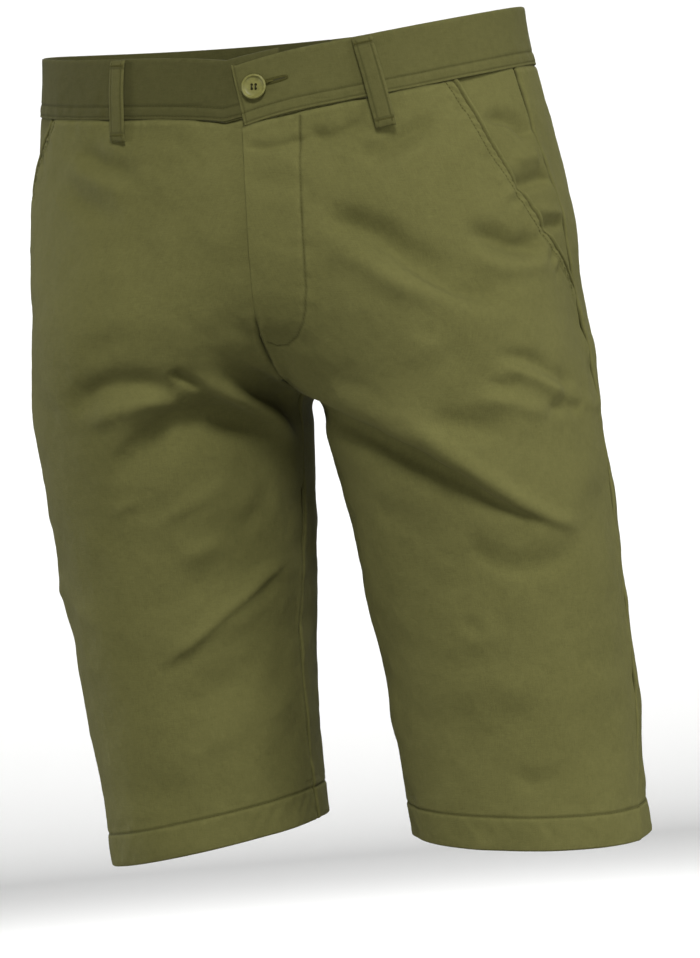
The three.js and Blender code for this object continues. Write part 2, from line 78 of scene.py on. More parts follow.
# %% Floor and backdrop
ROOM = {"floor": -0.95, "flat": 4.5, "curve": 1.0, "top": 4.0, "sides": 96, "steps": 12}
PAPER_LIGHTING, PAPER_SEEN = (0.22, 0.22, 0.22, 1), (0.93, 0.93, 0.92, 1)
profile = [(0.0, ROOM["floor"]), (ROOM["flat"], ROOM["floor"])]
for step in range(1, ROOM["steps"] + 1):
    swing = math.radians(90 * step / ROOM["steps"])
    profile.append((ROOM["flat"] + ROOM["curve"] * math.sin(swing),
                    ROOM["floor"] + ROOM["curve"] * (1 - math.cos(swing))))
profile.append((ROOM["flat"] + ROOM["curve"], ROOM["top"]))
points, faces = [(0, 0, ROOM["floor"])], []
for radius, height in profile[1:]:
    for k in range(ROOM["sides"]):
        a = 2 * math.pi * k / ROOM["sides"]
        points.append((radius * math.cos(a), radius * math.sin(a), height))
for ring in range(len(profile) - 1):
    for k in range(ROOM["sides"]):
        n = (k + 1) % ROOM["sides"]
        low = 1 + (ring - 1) * ROOM["sides"]
        high = 1 + ring * ROOM["sides"]
        faces.append((0, high + k, high + n) if ring == 0 else (low + k, high + k, high + n, low + n))
room_mesh = bpy.data.meshes.new("room")
room_mesh.from_pydata(points, [], faces)
room_mesh.shade_smooth()
room = bpy.data.objects.new("room", room_mesh)
bpy.context.scene.collection.objects.link(room)
paper = bpy.data.materials.new("studio paper")
paper.use_nodes = True
paper_shader = paper.node_tree.nodes["Principled BSDF"]
paper_shader.inputs["Roughness"].default_value = 0.9
seen = paper.node_tree.nodes.new("ShaderNodeMix")
seen.data_type = "RGBA"
seen.inputs[6].default_value, seen.inputs[7].default_value = PAPER_LIGHTING, PAPER_SEEN
looked_at = paper.node_tree.nodes.new("ShaderNodeLightPath").outputs["Is Camera Ray"]
paper.node_tree.links.new(looked_at, seen.inputs[0])
paper.node_tree.links.new(seen.outputs[2], paper_shader.inputs["Base Color"])
room_mesh.materials.append(paper)
print("room", len(faces), "faces")

# %% [markdown]
# ## The light
# One broad lamp stands high in front and models the folds. A weak one near the floor lifts their shadows,
# a pair on each side keeps the edges from going black, and two more light the back and the wall. Large
# area lamps give the soft edge that daylight in a studio has.

# %% Lamps
LAMPS = [
    # name, azimuth, elevation, distance, size, watts
    ("key", 22, 44, 5.0, 1.3, 200),
    ("low", 17, -16, 1.7, 0.7, 7),
    ("right", 75, 20, 2.8, 1.0, 22),
    ("right edge", 95, 5, 3.0, 1.0, 27),
    ("left", -58, 4, 3.0, 1.3, 22),
    ("left edge", -105, 5, 3.0, 1.0, 34),
    ("behind", 190, 35, 3.0, 2.0, 40),
    ("backdrop", 197, -5, 1.7, 2.4, 170),
]
MIDDLE = Vector((0, 0, -0.34))
SKY_COLOUR, SKY_STRENGTH = (0.93, 0.96, 1.0, 1), 0.03
for name, azimuth, elevation, distance, size, watts in LAMPS:
    a, e = math.radians(azimuth), math.radians(elevation)
    way = Vector((math.sin(a) * math.cos(e), -math.cos(a) * math.cos(e), math.sin(e)))
    data = bpy.data.lights.new(name, "AREA")
    data.shape = "DISK"
    data.size = size
    data.energy = watts
    lamp = bpy.data.objects.new(name, data)
    bpy.context.scene.collection.objects.link(lamp)
    shines = way if name == "backdrop" else -way
    turned_to = shines.to_track_quat("-Z", "Y").to_matrix().to_4x4()
    lamp.matrix_world = Matrix.Translation(MIDDLE + way * distance) @ turned_to
world = bpy.data.worlds.new("soft daylight")
world.use_nodes = True
sky = world.node_tree.nodes["Background"].inputs
sky["Color"].default_value, sky["Strength"].default_value = SKY_COLOUR, SKY_STRENGTH
bpy.context.scene.world = world
bpy.context.scene.view_settings.view_transform = "Standard"
print("lamps", [row[0] for row in LAMPS])

# %% [markdown]
# ## The pattern in numbers
# The form is two legs of rounded section that blend into one at the hips. The tables below are the same
# ones that the solids were made from: each leg's centre and its reach outwards, inwards, to the front
# and to the back at a height, and the angles at which the seams run. Repeating them here lets the fine
# cloth lie exactly on the solids.

# %% Sizes
CLOTH, HEM_WALL, HEM_HEIGHT = 1.2, 2.0, 22.0
BAND_WALL, BAND_HEIGHT, BAND_PROUD = 2.0, 38.0, 0.7
BAND_LAP = BAND_WALL + 0.4
SEAM_GAP, PLY = 0.3, 1.6
UNDER_END, UNDER_WING, FLY_LIFT_WIDTH = 32.0, 5.0, 46.0
FLY_END, MOUTH_END = -186.0, -183.0
MOUTH_ROWS, HEM_ROW, BAND_ROWS, END_ROW = (2.9, 8.2), 21.0, (1.7, 8.5), 1.6  # stitches from their edges
POCKET_TUCK, POCKET_DEPTH, POCKET_END, MOUTH_GAPE = 22.0, 2.2, -202.0, 2.6
POWER = 2.15
PIVOT_Y, PIVOT_Z = 5.0, -100.0
FRONT, BACK, LEFT, RIGHT = -1, 1, 1, -1
SIDE_NAME = {LEFT: "left", RIGHT: "right"}

# %% Tables of the sections and seams
SECTION = ("z", "x", "y", "out", "inn", "front", "back")
HIPS = [
    (12, 0, 0, 163, 163, 112, 112), (0, 0, 0, 163, 163, 112, 112), (-48, 14, 2, 157, 163, 116, 120),
    (-100, 40, 5, 139, 158, 124, 131), (-150, 64, 7, 119, 151, 130, 133), (-190, 81, 8, 104, 138, 130, 128),
    (-220, 91, 9, 97, 104, 122, 119),
]
RIGHT_LEG = [
    (-238, 95, 10, 95, 86.5, 115, 113), (-262, 97, 11, 93, 86.5, 109, 108),
    (-300, 100, 14, 90, 86.3, 100, 100), (-360, 102, 20, 85, 83.2, 92, 92),
    (-420, 102, 25, 79, 78, 87, 86), (-480, 101, 29, 75, 74, 84, 83), (-545, 100, 31, 73, 73, 83, 82),
]
LEFT_LEG = [
    (-238, 95, 10, 94, 92, 115, 113), (-262, 99, 11, 91, 89.5, 109, 108), (-300, 104, 15, 87, 86.5, 100, 100),
    (-360, 110, 20, 84, 85.5, 92, 92), (-420, 114, 25, 82, 83, 87, 87), (-480, 117, 29, 79, 80, 83, 84),
    (-565, 120, 31, 78, 79, 82, 83),
]
BLEND = [(12, 2), (0, 2), (-48, 14), (-100, 34), (-150, 46), (-190, 40), (-220, 20), (-238, 5),
         (-262, 3), (-565, 2)]
SEAM = ("z", "side", "inseam")
LEFT_SEAMS = [(-40, 168.5, 4), (-100, 170.5, 4), (-140, 177, 4), (-183, 181, 4), (-250, 187, 4),
              (-330, 189, 4), (-385, 189, 4), (-450, 184, 4), (-545, 167, 2)]
RIGHT_SEAMS = [(-40, 176, 4), (-100, 180, 4), (-183, 184, 4), (-250, 184, 3), (-300, 184, 3),
               (-344, 183, 7), (-400, 182, 11), (-450, 181, 11), (-500, 180, 7), (-545, 179, 3)]
MOUTHS = {
    LEFT: [(-47, 148.6), (-76, 150.2), (-104, 152.3), (-128, 155.9), (-155, 163.5), (MOUTH_END, 181)],
    RIGHT: [(-47, 152), (-60, 156), (-76, 160.5), (-104, 167), (-128, 171.5), (-155, 177), (MOUTH_END, 184)],
}
FLY = [(-60, 7.5), (-110, 7), (-150, 6), (-180, 4), (-200, 1.2), (-212, 0.15)]


def through(names, rows, key):
    """A smooth curve through one column of a table whose first column is a falling height."""
    z = np.array([row[0] for row in rows], float)
    v = np.array([row[names.index(key)] for row in rows], float)
    rise = np.diff(v) / np.diff(z)
    slope = (np.append(rise[0], rise) + np.append(rise, rise[-1])) / 2

    def value(height):
        q = np.clip(height, z[-1], z[0])
        i = np.clip(np.searchsorted(-z, -q, side="right") - 1, 0, len(z) - 2)
        span = z[i + 1] - z[i]
        t = (q - z[i]) / span
        bend = slope[i] * span * (t ** 3 - 2 * t ** 2 + t) + slope[i + 1] * span * (t ** 3 - t ** 2)
        return v[i] * (2 * t ** 3 - 3 * t ** 2 + 1) + v[i + 1] * (3 * t ** 2 - 2 * t ** 3) + bend

    return value


SIZES = {side: {key: through(SECTION, HIPS + rows, key) for key in SECTION[1:]}
         for side, rows in ((LEFT, LEFT_LEG), (RIGHT, RIGHT_LEG))}
SIDE_SEAM = {LEFT: through(SEAM, LEFT_SEAMS, "side"), RIGHT: through(SEAM, RIGHT_SEAMS, "side")}
INSEAM = {LEFT: through(SEAM, LEFT_SEAMS, "inseam"), RIGHT: through(SEAM, RIGHT_SEAMS, "inseam")}
MOUTH = {side: through(("z", "angle"), rows, "angle") for side, rows in MOUTHS.items()}
fly_edge = through(("z", "x"), FLY, "x")
blend = through(("z", "k"), BLEND, "k")
print("hip reach at -150:", float(SIZES[LEFT]["out"](-150.0)), "mm")

# %% [markdown]
# ## Folds
# A fold is drawn on a plane that faces one way, like a pencil line on a sheet: it runs from one end to
# the other, may be bowed, and swells to its highest in between. Its two flanks have their own widths, so
# a fold can be soft above and sharp below, and it can sink the cloth under its lower edge. The large
# ones are also in the solids. A fold with a height below zero is a trough.

# %% The large folds, shared with the solids
FOLD = ("a0", "z0", "a1", "z1", "bow", "peak", "above", "below", "height", "sink", "width")
NO_SINK = (0, 1)  # the last two columns of a row that leaves them out
FOLD_ROOM = 22.0  # no fold moves the cloth further than this
FOLDS = {
    17: [
        (-6, -232, 172, -345, -1, 0.42, 30, 5, 9.5),
        (-14, -235, 132, -328, -1, 0.3, 7.5, 11, -9.0),
        (18, -122, 160, -182, -8, 0.6, 20, 15, -4.6),
        (22, -136, 142, -190, -14, 0.5, 13, 13, 2.4),
        (62, -258, 134, -276, 0, 0.5, 11, 10, -3.4),
        (74, -202, 114, -248, 0, 0.5, 15, 13, -1.6),
        (-156, -248, -76, -230, -2, 0.6, 9, 9, 4.0),
        (-152, -314, 4, -314, 62, 0.5, 13, 22, -8.6),
        (-64, -197, 10, -241, 0, 0.7, 14, 5, 4.0, 7, 8),
        (-74, -220, -4, -271, 4, 0.5, 8, 8, 2.6),
        (-142, -414, -14, -338, -15, 0.6, 12, 8, 3.6),
        (-156, -376, -28, -322, -10, 0.5, 15, 13, -2.2),
        (76, -322, 176, -346, -26, 0.5, 13, 13, -2.4),
        (62, -362, 120, -424, 0, 0.5, 15, 15, 1.8),
        (88, -476, 142, -446, 0, 0.5, 11, 11, -1.8),
    ],
    180: [
        (-8, -226, -142, -290, 0, 0.4, 30, 9, 5.4, 4, 14),
        (8, -226, 134, -280, 2, 0.45, 30, 9, 5.0, 3.6, 14),
        (-24, -146, -134, -178, 0, 0.5, 24, 20, -2.8),
        (32, -140, 128, -176, 4, 0.5, 24, 20, -2.6),
        (-34, -330, -150, -372, 0, 0.4, 18, 15, 2.6),
        (38, -356, 150, -326, -6, 0.6, 18, 15, 2.8),
        (-50, -420, -140, -402, 0, 0.5, 18, 16, -2.0),
    ],
    -90: [
        (-40, -240, 60, -262, 6, 0.5, 18, 16, 2.2),
        (-50, -372, 60, -392, -6, 0.4, 18, 16, -2.0),
    ],
}


def smooth(x, low, high):
    """0 below low, 1 above high, and a smooth step between."""
    t = np.clip((x - low) / (high - low), 0, 1)
    return t * t * (3 - 2 * t)


def one_fold(row, a, z):
    """Height of one fold at points of the plane that it is drawn on."""
    fold = dict(zip(FOLD, row + NO_SINK))
    length = math.hypot(fold["a1"] - fold["a0"], fold["z1"] - fold["z0"])
    ua, uz = (fold["a1"] - fold["a0"]) / length, (fold["z1"] - fold["z0"]) / length
    t = ((a - fold["a0"]) * ua + (z - fold["z0"]) * uz) / length
    straight = ((z - fold["z0"]) * ua - (a - fold["a0"]) * uz) * math.copysign(1, ua)
    off = straight - 4 * fold["bow"] * t * (1 - t)
    along = smooth(t, 0, fold["peak"]) * (1 - smooth(t, fold["peak"], 1))
    ridge = np.exp(-(off / np.where(off > 0, fold["above"], fold["below"])) ** 2)
    trough = np.exp(-((off + fold["below"] + fold["width"]) / fold["width"]) ** 2)
    return along * (fold["height"] * ridge - fold["sink"] * trough)


def folded(table, x, y, z, draw=one_fold):
    """All folds of a table at points of the surface."""
    height = np.zeros(np.shape(x))
    for facing, rows in table.items():
        c, s = math.cos(math.radians(facing)), math.sin(math.radians(facing))
        weight = smooth((x * s - (y - 10) * c) / 90, 0.05, 0.45)
        shown = weight > 0
        if not shown.any():
            continue
        a, h = (x * c + y * s)[shown], z[shown]
        height[shown] += weight[shown] * sum(draw(row, a, h) for row in rows)
    return height


print("large folds", {facing: len(rows) for facing, rows in FOLDS.items()})

# %% [markdown]
# ## Finding the cloth
# A line from inside a leg is followed outwards until it leaves the cloth. The search halves its step
# each time, first without the folds, which is quick, and then near that place with them. Numpy carries
# a whole panel through the search at once, where a loop over points would take minutes.

# %% The surface
def sections(z):
    """Both legs' sections and their blend at the given heights."""
    table = {side: {key: SIZES[side][key](z) for key in SECTION[1:]} for side in (LEFT, RIGHT)}
    table["k"] = blend(z)
    return table


def plain(cut, x, y):
    """Roughly the distance outside the two blended legs, without folds."""
    reach = []
    for side in (LEFT, RIGHT):
        size = cut[side]
        dx, dy = x * side - size["x"], y - size["y"]
        rx = np.where(dx > 0, size["out"], size["inn"])
        ry = np.where(dy < 0, size["front"], size["back"])
        rho = (np.abs(dx / rx) ** POWER + np.abs(dy / ry) ** POWER) ** (1 / POWER)
        reach.append((rho - 1) * np.minimum(rx, ry))
    h = np.maximum(cut["k"] - np.abs(reach[0] - reach[1]), 0)
    return np.minimum(*reach) - h * h / (4 * cut["k"])


def cloth(x, y, z):
    return plain(sections(z), x, y) - folded(FOLDS, x, y, z)


def halve(near, far, outside, steps):
    """Narrows a range of distances to where a value that is below zero inside leaves the inside."""
    for _ in range(steps):
        mid = (near + far) / 2
        inside = outside(mid) < 0
        near, far = np.where(inside, mid, near), np.where(inside, far, mid)
    return near


def leave(ox, oy, dx, dy, z, reach):
    """How far along level lines from (ox, oy) the cloth is left, at most reach."""
    cut = sections(z)

    def rough(mid):
        return plain(cut, ox + dx * mid, oy + dy * mid)

    def exact(mid):
        return rough(mid) - folded(FOLDS, ox + dx * mid, oy + dy * mid, z)

    near = halve(np.zeros(np.shape(z)), np.broadcast_to(reach, np.shape(z)), rough, 17)
    return halve(near - FOLD_ROOM, np.minimum(near + FOLD_ROOM, reach), exact, 13)


def at(side, angle, z):
    """Points of the surface at angles (degrees) about a leg's centre and at heights."""
    angle, z = np.broadcast_arrays(np.asarray(angle, float), np.asarray(z, float))
    cx, cy = SIZES[side]["x"](z), SIZES[side]["y"](z)
    inward = np.cos(np.radians(angle))
    past = np.where(z > FLY_END - 14, UNDER_END + 4, -SEAM_GAP / 2)
    reach = np.where(inward > 0.001, np.minimum(330, (cx + past) / np.maximum(inward, 0.001)), 330)
    dx, dy = -side * inward, -np.sin(np.radians(angle))
    t = leave(side * cx, cy, dx, dy, z, reach)
    return np.stack((side * cx + dx * t, cy + dy * t, z), -1)


def on_centre(face, x, z):
    """Points of the surface at given x, on the front or the back."""
    x, z = np.broadcast_arrays(np.asarray(x, float), np.asarray(z, float))
    t = leave(x, 0.0, 0.0, float(face), z, 200.0)
    return np.stack((x, face * t, z), -1)


def normal(p):
    """Outward normals of the cloth."""
    d = 0.5
    x, y, z = p[..., 0], p[..., 1], p[..., 2]
    n = np.stack((cloth(x + d, y, z) - cloth(x - d, y, z), cloth(x, y + d, z) - cloth(x, y - d, z),
                  cloth(x, y, z + d) - cloth(x, y, z - d)), -1)
    return n / np.linalg.norm(n, axis=-1, keepdims=True)


def angle_of(side, p):
    """The angle about a leg's centre at which points lie, from -180 to 180."""
    z = p[..., 2]
    return np.degrees(np.arctan2(SIZES[side]["y"](z) - p[..., 1], SIZES[side]["x"](z) - side * p[..., 0]))


print("left hem centre front at", np.round(at(LEFT, 90.0, -540.0), 1))

# %% [markdown]
# ## Edges
# The waistband's top dips at the centre front, most on its upper end. The hems are cut almost level. The
# crotch seam turns about a point inside the hips, from the waist round to the inseams.

# %% Where the panels end
def waist_top(side, x, y):
    forward = -y / 112
    dip = 8 * np.exp(-np.abs(x) / 45) + (4.5 * np.exp(-np.abs(x) / 90) if side == LEFT else 0)
    return 3 - x / 160 - 11 * forward - 7 * forward ** 2 - dip * np.maximum(forward, 0)


def hem_height(side, p):
    out = (p[..., 0] * side - SIZES[side]["x"](-540.0)) / 79
    back = (p[..., 1] - SIZES[side]["y"](-540.0)) / 79
    return -540 - 7 * out + 4 * back if side == LEFT else -532.5 - 11 * out + 4 * back


def by_angle(height_of):
    """Samples a height at every degree once, and reads between the samples from then on."""
    angles = np.arange(-200.0, 201.0)
    heights = height_of(angles)
    return lambda angle: np.interp(angle, angles, heights)


def waist_line(side):
    def height(angle):
        p = at(side, angle, -50.0)
        return waist_top(side, p[..., 0], p[..., 1]) - BAND_HEIGHT - SEAM_GAP
    return by_angle(height)


PANEL_TOP = {side: waist_line(side) for side in (LEFT, RIGHT)}
PANEL_HEM = {side: by_angle(lambda angle, side=side: hem_height(side, at(side, angle, -540.0)))
             for side in (LEFT, RIGHT)}


def centre_edge(side, face, z):
    """How far past the centre a panel's edge lies: the left front laps over the right one."""
    if face == BACK:
        return side * SEAM_GAP / 2 + 0 * z
    if side == LEFT:
        return fly_edge(z)
    return fly_edge(z) - SEAM_GAP + UNDER_WING * smooth(z, FLY_END + 18, FLY_END + 38)


def rise(side, face, t):
    """Points of the crotch seam, from the waist (0) to where the inseams start (1)."""
    top = on_centre(face, centre_edge(side, face, -60.0), -60.0)
    for _ in range(8):
        z = PANEL_TOP[side](angle_of(side, top))
        top = on_centre(face, centre_edge(side, face, z), z)
    start = math.atan2(top[2] - PIVOT_Z, top[1] - PIVOT_Y)
    end = math.radians(270 if face == FRONT else -90)
    turned = start + (end - start) * t
    dy, dz = np.cos(turned), np.sin(turned)
    x = centre_edge(side, face, np.full(np.shape(t), top[2]))
    for _ in range(4):
        away = halve(np.zeros(np.shape(t)), np.full(np.shape(t), 190.0),
                     lambda mid, x=x: cloth(x, PIVOT_Y + dy * mid, PIVOT_Z + dz * mid), 24)
        p = np.stack((x, PIVOT_Y + dy * away, PIVOT_Z + dz * away), -1)
        x = centre_edge(side, face, p[..., 2])
    return p


CROTCH = 0.45  # the level of a panel's inner edge where the inseam starts


def inner_edge(side, face, level):
    """The seam on a panel's inner edge: angles and heights at levels from 0 to 1."""
    seam = rise(side, face, np.minimum(level / CROTCH, 1))
    low = rise(side, face, np.array([1.0]))[0, 2]
    t = np.clip((level - CROTCH) / (1 - CROTCH), 0, 1)
    z = low + (PANEL_HEM[side](INSEAM[side](-540.0)) - low) * t
    trim = face * np.degrees(SEAM_GAP / 2) / SIZES[side]["inn"](z)
    leg_angle = INSEAM[side](z) - trim * smooth(t, 0, 0.03)
    above = level <= CROTCH
    return np.where(above, angle_of(side, seam), leg_angle), np.where(above, seam[..., 2], z)


def outer_edge(side, face, level):
    """The side seam or pocket mouth on a panel's outer edge."""
    top = PANEL_TOP[side](SIDE_SEAM[side](-40.0))
    z = top + (PANEL_HEM[side](SIDE_SEAM[side](-540.0)) - top) * level
    trim = np.degrees(SEAM_GAP / 2) / SIZES[side]["out"](z)
    if face == BACK:
        return SIDE_SEAM[side](z) - 360 + trim, z
    z = z + (PANEL_TOP[side](MOUTH[side](-47.0)) - top) * (1 - smooth(level, 0, 0.25))
    seam = SIDE_SEAM[side](z) - trim
    return np.where(z > MOUTH_END, np.minimum(MOUTH[side](z), seam), seam), z


print("waist seam at the side", round(float(PANEL_TOP[LEFT](168.5)), 1), "mm")

# %% [markdown]
# ## Fine relief
# What makes sewn cloth look sewn is small: an edge that rolls into its seam, a shallow groove under each
# row of stitches, and puckers between rows where the thread has drawn the cloth in. Each is worked out
# from the distance to a line, so it follows the line wherever that goes. Puckers are uneven, so their
# heights come from smooth noise along the line with a fixed seed.

# %% Lines, grooves and puckers
def near(points, line, reach=26.0):
    """Distance from points to a line of points, and how far along the line the nearest place is."""
    flat = points.reshape(-1, 3)
    distance, along = np.full(len(flat), 999.0), np.zeros(len(flat))
    chosen = np.flatnonzero(((flat > line.min(0) - reach) & (flat < line.max(0) + reach)).all(1))
    p, best, run = flat[chosen], np.full(len(chosen), 999.0), np.zeros(len(chosen))
    passed = 0.0
    for a, b in zip(line[:-1], line[1:]):
        step = b - a
        length = max(float(np.linalg.norm(step)), 1e-6)
        rel = p - a
        t = np.clip(rel @ step / length ** 2, 0, 1)
        d = np.linalg.norm(rel - t[:, None] * step, axis=1)
        closer = d < best
        best[closer], run[closer] = d[closer], passed + t[closer] * length
        passed += length
    distance[chosen], along[chosen] = best, run
    return distance.reshape(points.shape[:-1]), along.reshape(points.shape[:-1])


def ripple(run, pitch, seed):
    """Smooth noise from -1 to 1 along a line, changing about once in each pitch."""
    knots = np.random.default_rng(seed).uniform(-1, 1, 1024)
    q = run / pitch
    i = np.floor(q).astype(int)
    f = q - i
    f = f * f * (3 - 2 * f)
    return knots[i % 1024] * (1 - f) + knots[(i + 1) % 1024] * f


def clouds(p, size, seed):
    """Smooth noise from -1 to 1 in space, with lumps of about the given size."""
    lattice = np.random.default_rng(seed).uniform(-1, 1, (32, 32, 32))
    q = p / size + 400
    i = np.floor(q).astype(int)
    f = q - i
    f = f * f * (3 - 2 * f)
    total = 0.0
    for corner in np.ndindex(2, 2, 2):
        weight = np.abs(1 - np.array(corner) - f).prod(-1)
        total = total + weight * lattice[tuple(np.moveaxis((i + corner) % 32, -1, 0))]
    return total


def bump(x, width):
    return np.exp(-(x / width) ** 2)


def crowd(count, *peaks):
    """Steps from 0 to 1 that are closer together near the peaks, each a place, a reach and a gain."""
    t = np.linspace(0, 1, 4001)
    density = 1 + sum(gain * np.exp(-np.abs(t - place) / reach) for place, reach, gain in peaks or ENDS)
    run = np.append(0, np.cumsum((density[1:] + density[:-1]) / 2))
    return np.interp(np.linspace(0, run[-1], count), run, t)


ENDS = ((0, 0.03, 2.5), (1, 0.03, 2.5))
print("noise along a line", np.round(ripple(np.arange(0, 40, 10.0), 8, 1), 2))

# %% [markdown]
# ## Small creases
# Between the large folds the cloth is never flat. Thinner creases sharpen the edges of the folds, fan out
# from the crotch and the pocket, and bend round each other. Each is a smooth line through a few points of
# the same sheet. It rises over its lead, fades over its tail, and has two flanks like a fold.

# %% Lines drawn on the sheet
LINE = ("points", "lead", "tail", "above", "below", "height", "sink", "width")


def one_crease(row, a, z):
    """Height of one crease at points of the plane that it is drawn on."""
    line = dict(zip(LINE, row + NO_SINK))
    knots = np.array(line["points"], float)
    k = np.vstack((2 * knots[0] - knots[1], knots, 2 * knots[-1] - knots[-2]))
    t = np.linspace(0, len(knots) - 1, 5 * len(knots))
    i = np.minimum(t.astype(int), len(knots) - 2)
    f = (t - i)[:, None]
    curve = k[i + 1] + ((k[i + 2] - k[i]) * f + (2 * k[i] - 5 * k[i + 1] + 4 * k[i + 2] - k[i + 3]) * f ** 2
                        + (3 * k[i + 1] - k[i] - 3 * k[i + 2] + k[i + 3]) * f ** 3) / 2
    reach = 2.3 * max(line["above"], line["below"]) + (line["sink"] > 0) * 3 * line["width"]
    q = np.stack((a, z), -1)
    chosen = np.flatnonzero(((q > curve.min(0) - reach) & (q < curve.max(0) + reach)).all(1))
    q, height = q[chosen], np.zeros(len(a))
    best, off, run = np.full(len(q), 999.0), np.zeros(len(q)), np.zeros(len(q))
    for n, (start, step) in enumerate(zip(curve[:-1], np.diff(curve, axis=0))):
        rel = q - start
        along = np.clip(rel @ step / (step @ step), 0, 1)
        d = np.linalg.norm(rel - along[:, None] * step, axis=1)
        uphill = d * np.sign(step[0] * rel[:, 1] - step[1] * rel[:, 0])
        closer = d < best
        best[closer], off[closer] = d[closer], uphill[closer]
        run[closer] = (n + along[closer]) / (len(curve) - 1)
    ridge = np.exp(-(off / np.where(off > 0, line["above"], line["below"])) ** 2)
    trough = np.exp(-((off + line["below"] + line["width"]) / line["width"]) ** 2)
    strength = smooth(run, 0, line["lead"]) * (1 - smooth(run, 1 - line["tail"], 1))
    height[chosen] = strength * (line["height"] * ridge - line["sink"] * trough)
    return height


